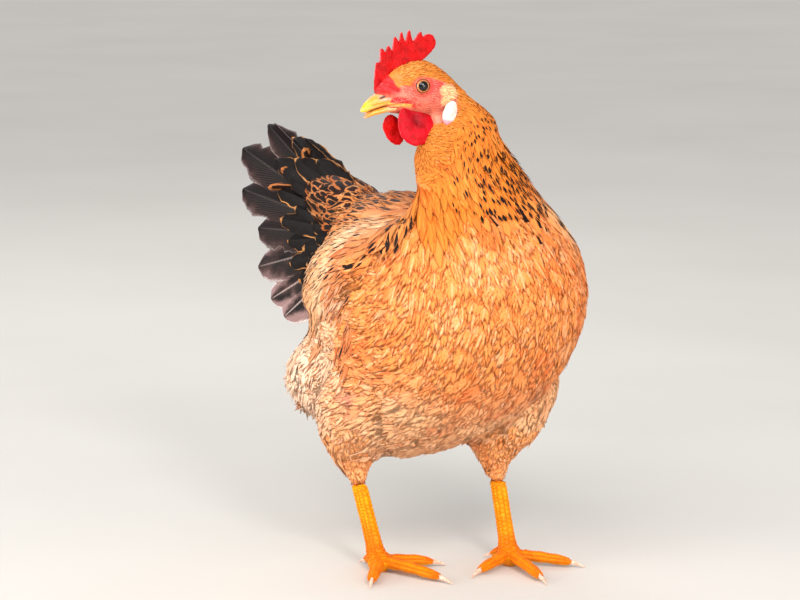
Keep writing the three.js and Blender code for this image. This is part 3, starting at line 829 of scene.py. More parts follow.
# %% [markdown]
# ## Colours of the plumage
#
# A buff hen with black lacing: warm orange from crown to breast, paler below, cream where the wing's front
# edge lies, tan on the wings and nearly black at the tail. Two fields are kept for every point of the skin:
# the ground colour, and how much of a feather's middle is black. The feathers read both, and the skin
# under them wears the same ground colours.

# %% Colour fields
GROUND = {
    "face": "EEA088",
    "crown": "D07A2A",
    "hackle": "DA7A28",
    "breast": "F8944C",
    "back": "CE8044",
    "wing": "F4B47C",
    "fluff": "FFBC86",
    "tail": "B06A38",
}
tints = masks @ np.array([tone(GROUND[name]) for name in TRACTS])
CREAM = np.array(tone("F8D3A2"))


def tinted(share, colour):
    """Lays a colour over the ground colours, by its share at each point."""
    global tints
    share = np.clip(share, 0, 1)[:, None]
    tints = tints * (1 - share) + np.array(colour) * share


# The folded wings have a cream band and are rusty before it. The ear's feathers, the left shoulder and the
# down behind are pale, the breast is warmest at its top, and two grey smudges show on the right side.
band = ty - (5 + 0.72 * (268 - tz))
tinted(0.8 * mask["wing"] * np.exp(-((band / 9) ** 2)), tone("F6CCA0"))
tinted(0.8 * mask["wing"] * (1 - smooth_step(band, -12, 0)) * (1 - smooth_step(tz, 258, 280)), tone("CC6C32"))
tinted(0.85 * tufted * on_head, tone("FFCF9C"))
tinted(0.8 * np.exp(-(np.linalg.norm(in_table - (48, -60, 284), axis=1) / 20) ** 2), CREAM)
tinted(0.5 * mask["breast"] * smooth_step(tz, 200, 125), tone("FFAE7C"))
tinted(0.6 * mask["breast"] * smooth_step(tz, 205, 250) * smooth_step(-ty, 45, 80), tone("F28A44"))
tinted(0.85 * mask["fluff"] * (1 - smooth_step(station, 2.0, 7.0)), tone("FFE2CA"))
for smudge in ((-75, 0, 146), (-72, 26, 160)):
    tinted(0.5 * np.exp(-(np.linalg.norm(in_table - smudge, axis=1) / 9) ** 2), tone("A88890"))
tinted(0.3 * mask["fluff"] * smooth_step(-elev, 0.5, 0.9), tone("FFC894"))
tinted(0.8 * thigh_share * smooth_step(tz, 165, 120), tone("FFA65C"))

# The neck's black marks are thick at the nape and on the side turned from the bill, sparse on the throat.
nape_side = smooth_step(leftward - np.interp(tz, [262, 300], [26, 2]), 0, 26) * smooth_step(tz, 255, 275)
nape_side = np.maximum(nape_side, 0.7 * smooth_step(outline_normal @ (0.62, 0.77, 0.0), 0.2, 0.5))
darks = mask["hackle"] * np.maximum(0.7 * nape_side, 0.2 * smooth_step(tz, 285, 300))
darks += mask["crown"] * 0.08 + mask["back"] * (0.5 + 0.2 * smooth_step(-station, -7, -3))
darks += mask["wing"] * (0.22 + 0.4 * smooth_step(band, 8, 30)) + mask["tail"] * 0.8
darks = np.clip(darks, 0, 1)
print("ground colours and dark centres set")

# %% [markdown]
# ## Where feathers grow
#
# Each feather has a root on the skin. Roots are thrown over the skin at random, more where feathers stand
# close, and those nearer to a kept root than the tract's gap are dropped. That leaves an even but irregular
# spread, as on a plucked bird. Every root carries the fields of its place, and a place on an unwrap of the
# skin, where the colour of its feather can be baked.

# %% Unwrap of the skin
def unwrap(made):
    """A UV map named OFBake over the piece's own shape."""
    mesh = made.data
    while mesh.uv_layers:
        mesh.uv_layers.remove(mesh.uv_layers[0])
    mesh.uv_layers.new(name="OFBake")
    bpy.context.view_layer.objects.active = made
    made.select_set(True)
    bpy.ops.object.mode_set(mode="EDIT")
    bpy.ops.mesh.select_all(action="SELECT")
    bpy.ops.uv.smart_project(angle_limit=math.radians(66), island_margin=0.004)
    bpy.ops.object.mode_set(mode="OBJECT")
    made.select_set(False)


unwrap(skin)
store_field(skin.data, "out", skin_normal)
store_field(skin.data, "tint", np.c_[tints, np.ones(len(tints))])

skin.data.calc_loop_triangles()
corners = np.empty(len(skin.data.loop_triangles) * 3, int)
skin.data.loop_triangles.foreach_get("vertices", corners)
corners = corners.reshape(-1, 3)
loops = np.empty(len(corners) * 3, int)
skin.data.loop_triangles.foreach_get("loops", loops)
loop_uv = np.empty(len(skin.data.loops) * 2)
skin.data.uv_layers["OFBake"].data.foreach_get("uv", loop_uv)
corner_uv = loop_uv.reshape(-1, 2)[loops].reshape(-1, 3, 2)

# %% Roots
TRIES_EACH = 6  # points thrown for every feather that finds room
CLOSER = 0.92  # how much of its gap a feather really keeps free
EYE_CLEAR = 8.3  # millimetres round the eye's middle without bristles
edge_a, edge_b = under[corners[:, 1]] - under[corners[:, 0]], under[corners[:, 2]] - under[corners[:, 0]]
areas = np.linalg.norm(np.cross(edge_a, edge_b), axis=1) / 2
gaps = sizes[corners, 2].mean(1) * MM
weights = areas / gaps**2
tries = rng.choice(len(corners), int(weights.sum() * TRIES_EACH), p=weights / weights.sum())
u, v = rng.random(len(tries)), rng.random(len(tries))
u, v = np.where(u + v > 1, 1 - u, u), np.where(u + v > 1, 1 - v, v)
bary = np.stack([1 - u - v, u, v], 1)


def at_tries(field):
    """A field of the skin's points, at the points thrown."""
    return np.einsum("ij,ij...->i...", bary, field[corners[tries]])


spots = at_tries(under)
spot_gaps = at_tries(sizes[:, 2]) * MM * CLOSER
spots_head = through(TO_HEAD, spots)
eye_reach = np.min([
    np.linalg.norm(spots_head - mirrored(EYE_AT, side), axis=1) for side in (1, -1)
], 0)
forehead = (spots_head[:, 1] < -21) & (spots_head[:, 2] > -4) & (spots[:, 2] > 0.34)
alive = (eye_reach > EYE_CLEAR) & ~forehead
spots_tree = KDTree(len(spots))
for i, p in enumerate(spots):
    spots_tree.insert(p, i)
spots_tree.balance()
kept = []
for i in range(len(spots)):
    if alive[i]:
        kept.append(i)
        for _, j, _ in spots_tree.find_range(spots[i], spot_gaps[i]):
            alive[j] = False
kept = np.array(kept)
tries, bary = tries[kept], bary[kept]
root = {
    "at": at_tries(under),
    "out": at_tries(skin_normal),
    "lie": at_tries(lies),
    "size": at_tries(sizes),
    "tint": at_tries(tints),
    "dark": at_tries(darks),
    "uv": np.einsum("ij,ijk->ik", bary, corner_uv[tries]),
    "random": rng.random(len(kept)),
}
root["out"] /= np.linalg.norm(root["out"], axis=1, keepdims=True)
shares = np.cumsum(at_tries(masks), 1)
root["tract"] = (rng.random(len(kept))[:, None] > shares / shares[:, -1:]).sum(1)

# Before each shoulder lies a patch of long feathers with big black tips, chosen by where the tips end.
tips = (root["at"] + root["lie"] * root["size"][:, :1] * 0.85 * MM) / MM - (0, SHIFT_Y, 0)
for side in (1, -1):
    on_patch = np.linalg.norm((tips - (side * 65, -27, 270)) / (15, 13, 19), axis=1) < 1
    on_patch &= np.isin(root["tract"], [TRACTS.index(name) for name in ("hackle", "breast", "back", "wing")])
    root["tract"][on_patch] = TRACTS.index("hackle")
    root["size"][on_patch] = (36, 3.8, 4, 4.2)
    root["dark"][on_patch] = 0.9
print("feathers", len(kept), {name: int((root["tract"] == i).sum()) for i, name in enumerate(TRACTS)})

# %% [markdown]
# ## The cut of a feather
#
# A feather is a thin vane on a shaft. Here it is a flat lens, closed all round, whose section has six points
# and a ridge for the shaft. Its edges are swept towards the tip, as barbs are, and frayed. The soft feathers
# of breast and belly have no firm vane: theirs has parted into locks, each a thin spike with three sides. The
# height of the lens is kept as an attribute and not as shape, because the feather is first laid on the skin
# and only then gets its thickness. Two more attributes say how far along and how far across a point lies, for
# the markings.

# %% Feather templates
SECTION = [(-1, 0.0), (-0.5, 0.62), (0, 1.0), (0.5, 0.62), (1, 0.0), (0, -0.5)]


def add_lens(points, faces, extra, rings):
    """A closed tube of six-point sections. A ring is its middle, its direction across, its half width, how
    far along it lies, the lens's height and how far its edges drop."""
    first = len(points)
    for middle, side, half, u, thick, drop in rings:
        for across, h in SECTION:
            points.append(np.array(middle) + np.array(side) * half * across)
            extra.append((u, across, h * thick - drop * across**2))
    n = len(SECTION)
    for k in range(len(rings) - 1):
        for i in range(n):
            a, b = first + k * n + i, first + k * n + (i + 1) % n
            faces.append((a, a + n, b + n, b))
    faces.append([first + i for i in range(n)])
    faces.append([first + (len(rings) - 1) * n + i for i in reversed(range(n))])


def template(name, points, faces, extra):
    """A feather's mesh, with what the markings and the tree that lays it read."""
    mesh = mesh_of(name, points, faces)
    for i, key in enumerate(("along", "across", "height")):
        store_field(mesh, key, [row[i] for row in extra])
    return mesh


def vane(name, outline_at, thick, drop, fray, sweep, steps):
    """A vane one unit long and one wide to each side, from its outline's half width at each step."""
    points, faces, extra, rings = [], [], [], []
    for k, u in enumerate(steps):
        half = outline_at(u) * (1 + fray * (rng.random() - 0.6) * (k % 2) * 2 * (u > 0.3))
        side = (1, rng.normal(0, fray * 0.12), 0)
        middle = (fray * 0.1 * rng.normal() * u, u, 0)
        height = thick * (1 - 0.6 * u) * min(1, half) * MM
        edge_drop = 0.5 * drop * MM * min(1, half) ** 2
        rings.append((middle, side, max(half, 0.02), u, height, edge_drop))
    add_lens(points, faces, extra, rings)
    for i, (u, across, _) in enumerate(extra):
        if 0 < u < 1:
            swept = sweep * abs(across) * (1 - 0.6 * points[i][1]) - sweep * 0.4
            points[i] = points[i] + np.array((0, swept, 0))
    return template(name, points, faces, extra)


def plume(name, locks, fan, half, thick):
    """A soft feather whose vane has parted into locks, each ending in a point of its own."""
    points, faces, extra = [], [], []
    for i in range(locks):
        off = 2 * i / (locks - 1) - 1
        begin, end = 0.12 * rng.random(), 1 - 0.24 * off**2 + rng.normal(0, 0.07)
        bend = rng.normal(0, 0.12)
        for u, share in ((0.0, 0.5), (0.45, 1.0), (0.8, 0.75), (1.0, 0.05)):
            aside = off * fan * (0.25 + 0.75 * u**0.8) + bend * u * u
            middle = np.array((aside, begin + (end - begin) * u, 0))
            for j, h in ((-1, -0.15), (1, -0.15), (0, 1.0)):
                points.append(middle + np.array((half * share * j, 0, 0)))
                height = (h * share * (1 - 0.4 * u) - 0.5 * off**2) * thick * MM
                extra.append((middle[1], off * 0.75 + 0.25 * j, height))
        first = 12 * i
        for k in range(3):
            for j in range(3):
                a, b = first + 3 * k + j, first + 3 * k + (j + 1) % 3
                faces.append((a, b, b + 3, a + 3))
        faces.append((first + 2, first + 1, first))
        faces.append((first + 9, first + 10, first + 11))
    return template(name, points, faces, extra)


def rounded(u):
    """Half width of a broad feather with a round end."""
    grow = min(1, (u + 0.03) / 0.5) ** 0.75
    return grow * math.sqrt(max(1 - max(0, (u - 0.68) / 0.32) ** 2.2, 0.001))


def pointed(u):
    """Half width of a narrow pointed feather."""
    return min(1, (u + 0.05) / 0.3) ** 0.8 * (1 - max(0, (u - 0.35) / 0.66) ** 1.35) + 0.015


def lanced(u):
    """Half width of a hackle feather, widest past its middle."""
    return min(1, (u + 0.05) / 0.3) ** 0.8 * (1 - max(0, (u - 0.5) / 0.51) ** 2.2) + 0.01


def blunt(u):
    """Half width of a covert, nearly parallel, with a broad end."""
    return min(1, (u + 0.06) / 0.28) ** 0.7 * math.sqrt(max(1 - max(0, (u - 0.8) / 0.2) ** 2.4, 0.001))


LONG_STEPS = (0, 0.12, 0.28, 0.45, 0.6, 0.74, 0.86, 0.95, 1.0)
TEMPLATES = {
    "face": [vane("v", pointed, 0.25, 0.0, 0.0, 0.0, (0, 0.35, 1.0)) for _ in range(2)],
    "crown": [vane("v", pointed, 0.25, 0.1, 0.1, 0.1, (0, 0.25, 0.5, 0.8, 1.0)) for _ in range(3)],
    "hackle": [vane("v", lanced, 0.4, 0.5, 0.12, 0.06, LONG_STEPS) for _ in range(4)],
    "breast": [plume("v", 7, 0.8, 0.34, 0.2) for _ in range(6)],
    "back": [vane("v", cut, 0.4, 0.7, 0.2, 0.12, LONG_STEPS) for cut in (rounded, pointed, pointed, pointed)],
    "wing": [vane("v", cut, 0.4, 0.6, 0.12, 0.1, LONG_STEPS) for cut in (lanced, pointed, pointed, lanced)],
    "fluff": [plume("v", 7, 1.0, 0.33, 0.2) for _ in range(6)],
    "tail": [vane("v", blunt, 0.6, 1.2, 0.12, 0.12, LONG_STEPS) for _ in range(4)],
}
print("faces of a feather", {name: len(meshes[0].polygons) for name, meshes in TEMPLATES.items()})

# %% [markdown]
# ## Laying the feathers
#
# One Geometry Nodes tree lays a tract. It puts a template on every root, turned to the lie and scaled to its
# size, makes the copies real, then drops every point onto the skin's nearest place and lifts it again: little
# at the root, more towards the tip, so that each feather lies over the next one behind it like a tile. Where
# a feather reaches far past a bend it is let go a little, and stands off. Last it gets its small patch on the
# skin's unwrap, and its material.

# %% Geometry Nodes kit
class Recipe(Graph):
    """A Geometry Nodes tree with named inputs."""

    def __init__(self, name, **inputs):
        tree = bpy.data.node_groups.new(name, "GeometryNodeTree")
        tree.interface.new_socket("Geometry", in_out="INPUT", socket_type="NodeSocketGeometry")
        self.ids = {
            key: tree.interface.new_socket(key, in_out="INPUT", socket_type="NodeSocket" + kind).identifier
            for key, kind in inputs.items()
        }
        tree.interface.new_socket("Geometry", in_out="OUTPUT", socket_type="NodeSocketGeometry")
        super().__init__(tree)
        self.given = self.node("NodeGroupInput")

    def named(self, name, kind="FLOAT"):
        return self.node("GeometryNodeInputNamedAttribute", {"data_type": kind}, {"Name": name})

    def vector(self, operation, *values, output=0):
        return self.node("ShaderNodeVectorMath", {"operation": operation}, dict(enumerate(values)), output)

    def scaled(self, vector, factor):
        return self.node("ShaderNodeVectorMath", {"operation": "SCALE"}, {0: vector, "Scale": factor})

    def store(self, geometry, name, value, kind, domain="POINT"):
        inputs = {"Geometry": geometry, "Name": name, "Value": value}
        return self.node("GeometryNodeStoreNamedAttribute", {"data_type": kind, "domain": domain}, inputs)

    def end(self, geometry):
        """Realized, with its material."""
        real = self.node("GeometryNodeRealizeInstances", {}, {"Geometry": geometry})
        inputs = {"Geometry": real, "Material": self.given.out("Paint")}
        done = self.node("GeometryNodeSetMaterial", {}, inputs)
        self.node("NodeGroupOutput", {}, {"Geometry": done})
        return self

    def grow(self, made, **values):
        """Runs the tree on an object, and leaves a plain mesh."""
        step = made.modifiers.new("recipe", "NODES")
        step.node_group = self.tree
        for key, value in values.items():
            step[self.ids[key]] = value
        return evaluated(made)


# %% The tree that lays feathers
TUFT_PATCH = 0.003  # side of a feather's patch on the unwrap


def lay_recipe():
    """Takes roots as points, and gives the feathers that lie on a skin."""
    r = Recipe(
        "lay feathers", Skin="Object", Vanes="Collection", Paint="Material", Patch="Float", Letgo="Float"
    )
    vanes = r.node("GeometryNodeCollectionInfo", {}, {
        "Collection": r.given.out("Vanes"), "Separate Children": True, "Reset Children": True,
    })
    turn = r.node(
        "FunctionNodeAxesToRotation",
        {"primary_axis": "Z", "secondary_axis": "Y"},
        {0: r.named("out", "FLOAT_VECTOR"), 1: r.named("lie", "FLOAT_VECTOR")},
    )
    laid = r.node("GeometryNodeInstanceOnPoints", {}, {
        "Points": r.given.out("Geometry"), "Instance": vanes, "Pick Instance": True,
        "Instance Index": r.named("variant", "INT"), "Rotation": turn,
        "Scale": r.named("size", "FLOAT_VECTOR"),
    })
    real = r.node("GeometryNodeRealizeInstances", {}, {"Geometry": laid})

    surface = r.node("GeometryNodeObjectInfo", {}, {"Object": r.given.out("Skin")}).out("Geometry")
    here = r.node("GeometryNodeInputPosition")
    vectors = {"data_type": "FLOAT_VECTOR"}
    nearest = r.node("GeometryNodeSampleNearestSurface", vectors, {"Mesh": surface, "Value": here})
    skin_out = {"Mesh": surface, "Value": r.named("out", "FLOAT_VECTOR")}
    normal = r.node("GeometryNodeSampleNearestSurface", vectors, skin_out)

    away = r.vector("DISTANCE", here, nearest, output="Value")
    long = r.named("size", "FLOAT_VECTOR")
    length = r.node("ShaderNodeSeparateXYZ", {}, {0: long}, 1)
    held = 1 - r.given.out("Letgo") * (away / length).step(0.18, 0.7)
    lift = r.named("rise") * r.named("along") ** 0.75 + r.named("height")
    on_skin = r.vector("ADD", nearest, r.scaled(r.vector("NORMALIZE", normal), lift))
    free = r.vector("ADD", here, r.scaled(r.named("out", "FLOAT_VECTOR"), lift))
    mixed = r.node("ShaderNodeMix", {"data_type": "VECTOR"}, {0: held, 4: free, 5: on_skin}, 1)
    moved = r.node("GeometryNodeSetPosition", {}, {"Geometry": real, "Position": mixed})

    u = r.named("across") * 0.5
    v = r.named("along") - 0.5
    flat = r.node("ShaderNodeCombineXYZ", {}, {0: u, 1: v, 2: 0.0})
    patch = r.vector("ADD", r.named("root_uv", "FLOAT_VECTOR"), r.scaled(flat, r.given.out("Patch")))
    mapped = r.store(moved, "OFBake", patch, "FLOAT2", "CORNER")
    return r.end(r.store(mapped, "soft", r.vector("NORMALIZE", normal), "FLOAT_VECTOR"))


lay = lay_recipe()
print("the tree that lays feathers has", len(lay.tree.nodes), "nodes")

# %% [markdown]
# ## What a feather is coloured with
#
# A marked feather is black towards its tip, and the black ends short of the edge, which leaves a laced rim.
# Some feathers of neck, breast and belly carry a short pale streak on the shaft. Over all of it run the
# barbs, fine slanting lines from the shaft out, in colour and relief. Feathers are soft: rough, with hardly
# any gloss, but black ones shine a little. Their normals lean towards the skin's own, so that thousands of
# small vanes shade as one body.

# %% Plumage material
def plumage(name, flame, rim, barbs, gloss=0.6, black="1C0D08", lace=0.78, tip=0.93, soft=0.6,
            shaft=0.0, edging=0.0, flecks=0.0, start=0.0):
    """The material of a tract. Flame is the share of streaks in the rim's colour. The black is as wide as
    lace and runs from start to tip, and soft is how far the skin's normal replaces the vane's."""
    p = Paint(name, specular_ior_level=0.16)
    along, across, random = p.attribute("along"), p.attribute("across"), p.attribute("random")
    aside = across.size()
    wander = p.noise(300.0, 3.0) - 0.5
    ground = p.attribute("tint", "Color")
    ground = p.mix(ground, p.times(ground, tone("E8A070")), (random * 7.3).math("FRACT").step(0.6, 1.0) * 0.4)
    own = p.node("ShaderNodeCombineXYZ", {}, {0: across * 1.3, 1: along * 1.8, 2: random * 40.0})
    streaks = p.noise(1.0, 3.0, own, 0.6) * 0.7 + p.noise(26.0, 1.0) * 0.3
    ground = p.mix(ground, tone(rim), streaks.step(0.5, 0.66) * flame)
    ground = p.mix(ground, p.times(ground, tone("EC8A50")), streaks.step(0.47, 0.33) * flame * 0.6)
    # Towards its root a feather is painted a little darker and pinker: painted shade, where the next feather
    # lies over it.
    ground = p.mix(p.times(ground, tone("FBE6D6")), ground, along.step(-0.1, 0.45))
    dark = p.attribute("dark")
    along_ragged = along + wander * 0.06
    spread_of = dark * lace
    if start:
        spread_of = spread_of * along_ragged.step(start - 0.04, start + 0.1)
    blot = (aside / (spread_of + 0.02) + wander * 0.22).step(1.0, 0.86) * dark.step(0.03, 0.06)
    blot = blot * along_ragged.step(tip, tip - 0.025)
    some = (random * 5.3).math("FRACT")
    if shaft:
        shine = aside.step(0.15, 0.04) * along.step(0.35, 0.6) * some.step(0.45, 0.6)
        ground = p.mix(ground, tone(rim), shine * shaft)
    if edging:
        at_edge = aside.step(0.74, 0.9) * along.step(0.3, 0.55) * some.step(0.4, 0.45) * edging
        blot = blot.math("MAXIMUM", at_edge)
    if flecks:
        speck = p.node("ShaderNodeCombineXYZ", {}, {0: across * 5.0, 1: along * 4.5, 2: random * 70.0})
        blot = blot.math("MAXIMUM", p.noise(1.0, 2.0, speck).step(0.62, 0.66) * flecks)
    ground = p.mix(ground, tone(black), blot)
    line = (along * barbs - aside * (barbs * 0.32) + wander * 3.0).math("SINE")
    ground = p.mix(ground, p.times(ground, tone("D8B09A")), line.step(0.3, 1.0) * 0.25)
    real = p.node("ShaderNodeNewGeometry", {}, {}, "Normal")
    even = p.node("ShaderNodeAttribute", {"attribute_name": "soft"}, {}, "Vector")
    face = p.node("ShaderNodeNewGeometry", {}, {}, "True Normal")
    facing = p.node("ShaderNodeVectorMath", {"operation": "DOT_PRODUCT"}, {0: face, 1: even}, "Value")
    inputs = {0: facing.step(-0.1, 0.3) * soft, 4: real, 5: even}
    normal = p.node("ShaderNodeMix", {"data_type": "VECTOR"}, inputs, 1)
    return p.finish(ground, gloss - blot * 0.05, line * 0.5 + wander * 1.5, 0.3, 0.0003, normal)


COAT_PAINT = {
    "face": plumage("bristles", 0.0, "F7C9A0", 0.0, soft=1.0),
    "crown": plumage("crown_feathers", 0.6, "F9B468", 20.0, black="6A3014", start=0.5),
    "hackle": plumage(
        "hackle_feathers", 0.55, "F7A550", 60.0, lace=1.15, tip=0.98, soft=0.85, shaft=0.3, start=0.74
    ),
    "breast": plumage("breast_feathers", 0.5, "FFC090", 40.0, 0.7, soft=0.96, shaft=0.5),
    "back": plumage(
        "back_feathers", 0.4, "F8CB98", 50.0,
        black="2C120A", lace=0.75, tip=0.965, soft=0.7, edging=0.7, start=0.66,
    ),
    "wing": plumage(
        "wing_feathers", 0.5, "FFE6C6", 56.0, 0.55,
        lace=0.85, tip=0.96, soft=0.75, edging=0.8, flecks=0.9, start=0.7,
    ),
    "fluff": plumage("down", 0.45, "FFD0A8", 30.0, 0.75, soft=0.96, shaft=0.4),
    "tail": plumage(
        "tail_coverts", 0.3, "E8B078", 60.0, 0.5, lace=0.7, tip=0.97, soft=0.5, edging=0.7, start=0.5
    ),
}
print("plumage materials", len(COAT_PAINT))

# %% The coat, tract by tract
#          wander of the lie in degrees, how far a vane past a bend is let go, share by which sizes vary
GROWTH = {
    "face": (14, 0.3, 0.2),
    "crown": (7, 0.3, 0.12),
    "hackle": (5, 0.12, 0.12),
    "breast": (12, 0.35, 0.2),
    "back": (6, 0.15, 0.12),
    "wing": (4, 0.5, 0.1),
    "fluff": (18, 0.3, 0.25),
    "tail": (6, 0.85, 0.15),
}
SLOTS = {name: name for name in TRACTS}
SLOTS.update(face="crown", back="breast")


def turned(lie_of, out_of, degrees):
    """Directions on the surface, turned about its normals."""
    a = np.radians(degrees)[:, None]
    return lie_of * np.cos(a) + np.cross(out_of, lie_of) * np.sin(a)


def drop_torn(mesh):
    """Takes out feathers that were torn between two surfaces, such as belly and thigh."""
    co, _ = arrays(mesh)
    size_of = np.empty(len(co) * 3, np.float32)
    mesh.attributes["size"].data.foreach_get("vector", size_of)
    own = np.empty(len(co), np.float32)
    mesh.attributes["random"].data.foreach_get("value", own)
    a, b = edge_ends(mesh)
    torn = np.linalg.norm(co[a] - co[b], axis=1) > 0.62 * size_of.reshape(-1, 3)[a, 1] + 0.4 * MM
    if torn.any():
        bad = np.isin(own, np.unique(own[a[torn]]))
        bm = bmesh.new()
        bm.from_mesh(mesh)
        bmesh.ops.delete(bm, geom=[v for v, gone in zip(bm.verts, bad) if gone], context="VERTS")
        bm.to_mesh(mesh)
        bm.free()
        print("torn feathers taken out:", len(np.unique(own[a[torn]])))


def grow_coat(name, pick, meshes, paint, number):
    """Feathers of one tract as one plain mesh."""
    wander, letgo, vary = GROWTH[name]
    n = len(pick)
    out_of = root["out"][pick]
    lie_of = tangent(root["lie"][pick], out_of)
    lie_of = turned(lie_of, out_of, rng.normal(0, wander, n))
    long, wide, _, rise = root["size"][pick].T
    long = long * rng.normal(1, vary, n).clip(0.6, 1.5)
    wide = wide * rng.normal(1, vary, n).clip(0.6, 1.5)
    chance = root["dark"][pick]
    dark = np.where(rng.random(n) < chance * 1.25, (0.35 + 0.65 * chance) * rng.uniform(0.6, 1.05, n), 0)
    mesh = bpy.data.meshes.new(name)
    mesh.from_pydata([tuple(p) for p in root["at"][pick]], [], [])
    fields = {
        "out": out_of,
        "lie": lie_of,
        "size": np.stack([wide * MM, long * MM, np.ones(n)], 1),
        "root_uv": np.c_[root["uv"][pick], np.zeros(n)],
        "tint": np.c_[root["tint"][pick], np.ones(n)],
        "rise": rise * MM * rng.normal(1, 0.12, n).clip(0.5, 1.4),
        "dark": dark,
        "random": root["random"][pick],
    }
    for key, values in fields.items():
        store_field(mesh, key, values)
    variants = rng.integers(0, len(meshes), n).astype(np.int32)
    mesh.attributes.new("variant", "INT", "POINT").data.foreach_set("value", variants)

    shelf = bpy.data.collections.new("templates")
    for i, cut in enumerate(meshes):
        shelf.objects.link(bpy.data.objects.new(f"cut_{i}", cut))
    made = object_of(f"coat_{name}_{number}", mesh)
    lay.grow(made, Skin=skin, Vanes=shelf, Paint=paint, Patch=TUFT_PATCH, Letgo=letgo)
    drop_torn(made.data)
    for key in ("out", "lie", "size", "root_uv", "rise", "variant", "height"):
        layer = made.data.attributes.get(key)
        if layer:
            made.data.attributes.remove(layer)
    for holder in list(shelf.objects):
        bpy.data.objects.remove(holder)
    bpy.data.collections.remove(shelf)
    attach(made, "root")
    return made


PIECE_LIMIT = 180_000  # triangles
coat_triangles = 0
for i, name in enumerate(TRACTS):
    pick = np.nonzero(root["tract"] == i)[0]
    each = max(sum(len(p.vertices) - 2 for p in cut.polygons) for cut in TEMPLATES[name])
    pieces = math.ceil(len(pick) * each / PIECE_LIMIT)
    for number, share in enumerate(np.array_split(pick, pieces), 1):
        made = grow_coat(name, share, TEMPLATES[name], COAT_PAINT[name], number)
        triangles = sum(len(p.vertices) - 2 for p in made.data.polygons)
        coat_triangles += triangles
        print(made.name, len(share), "feathers", triangles, "triangles")
print("coat", coat_triangles, "triangles")
for meshes in TEMPLATES.values():
    for cut in meshes:
        bpy.data.meshes.remove(cut)

# %% [markdown]
# ## The skin's own look
#
# Under the coat the skin shows only in gaps, so it wears the coat's ground colours. The face is bare: red
# before and behind the eye, pinker on the cheek, with a red stripe along the mouth and paler lids. Those
# zones are painted point by point in the head's frame, because the skin's faces are small there.

# %% Face colours
in_head = through(TO_HEAD, arrays(skin.data)[0])
hx, hy, hz = in_head.T
eye_ring = np.full(len(in_head), 99.0)
for side in (1, -1):
    off_axis = np.cross(in_head - mirrored(EYE_AT, side), mirrored(GAZE, side))
    eye_ring = np.where(hx * side > 0, np.linalg.norm(off_axis, axis=1), eye_ring)
STRIPE = [(-31, -8.6), (-24, -6.8), (-17.3, -8.4), (-10.6, -13)]
off_stripe = np.abs(hz - np.interp(hy, [y for y, _ in STRIPE], [z for _, z in STRIPE]))
on_stripe = smooth_step(hy, -33, -29) * smooth_step(hy, -9, -12) * smooth_step(off_stripe, 2.6, 1.3)
tinted(bare, tone("D05E48"))
tinted(bare * 0.85 * blob((-4, 0), (16, 7)), tone("DF3A33"))
tinted(bare * 0.9 * blob((7, 1.5), (7, 4.5)), tone("E02B2B"))
tinted(bare * 0.5 * blob((-20, -2), (6, 5)), tone("F08F78"))
tinted(bare * 0.6 * blob((2, -24), (9, 5)), tone("F9B494"))
tinted(bare * on_stripe, tone("D8101A"))
tinted(bare * smooth_step(hy, -19.5, -23.5) * smooth_step(hz, -4, 0), tone("CC0810"))
# Dark red in the valleys between the forehead's wrinkles, which the face's sculpting raised: painted shade in
# the furrows.
furrow_shade = bare * 0.4 * smooth_step(hy, -20, -24) * smooth_step(np.sin((hz + 0.5 * hy) * 1.1), -0.2, -0.9)
tinted(furrow_shade * smooth_step(hz, 9, 4) * smooth_step(hz, -4, 0), tone("6E0610"))
off_corner = np.abs(hz + 11.6 + 0.16 * (hy + 20))  # the horn runs back along the mouth's corner
tinted(bare * smooth_step(off_corner, 1.7, 0.8) * smooth_step(hy, -12, -14), tone("F4B050"))
tinted(bare * 0.8 * smooth_step(eye_ring, 7.2, 6.4), tone("E4694E"))
tinted(bare * smooth_step(eye_ring, 5.5, 5.1), tone("4A1E14"))
skin.data.attributes["tint"].data.foreach_set("color", np.c_[tints, bare].astype(np.float32).ravel())


def make_skin_paint():
    p = Paint("bare_skin", subsurface_weight=0.12, subsurface_scale=0.002)
    grain = p.noise(900.0, 3.0)
    folds = p.noise(260.0, 2.0)
    colour = p.attribute("tint", "Color")
    bare_here = p.attribute("tint", "Alpha")
    # Darker red where the fold noise is low: partly the skin's blotches, partly painted shade in the hollows
    # that the same noise presses into the bump.
    colour = p.mix(colour, p.times(colour, tone("C2605A")), folds.step(0.55, 0.35) * 0.5 * bare_here)
    colour = p.mix(colour, tone("F6C4B0"), grain.step(0.6, 0.75) * 0.25 * bare_here)
    return p.finish(colour, 0.5 + folds * 0.15, grain * 0.5 + folds, 0.5, 0.0006)


skin.data.materials.clear()
skin.data.materials.append(make_skin_paint())
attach(skin, "root")
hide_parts(*FLESH)
print("skin", len(skin.data.polygons), "faces")

# %% [markdown]
# ## Tail quills
#
# The tail is a roof of seven pairs of stiff quills that fan out from the rump. Copies of one blade would
# look stamped, and there are only fourteen, so each is lofted on its own: a thin closed blade along its
# shaft, cupped, split here and there at the rim, with the shaft standing proud. Three tiers of shorter
# coverts lie over their roots, made in the same way.

# %% Quills
TAIL_ROOT = (0, 92, 243)
# rise and splay in degrees, and reach in millimetres, from the topmost quill to the lowest
TAIL = np.array([
    [31.7, 1, 144],
    [23, 8, 148],
    [13, 15, 126],
    [1, 23, 98],
    [-16, 32, 95],
    [-32, 42, 91],
    [-42, 52, 89],
], float)


def pointing(rise, splay, side):
    """The direction backwards with a rise and a splay to a side, in radians."""
    return Vector((side * math.sin(splay) * math.cos(rise), math.cos(splay) * math.cos(rise), math.sin(rise)))


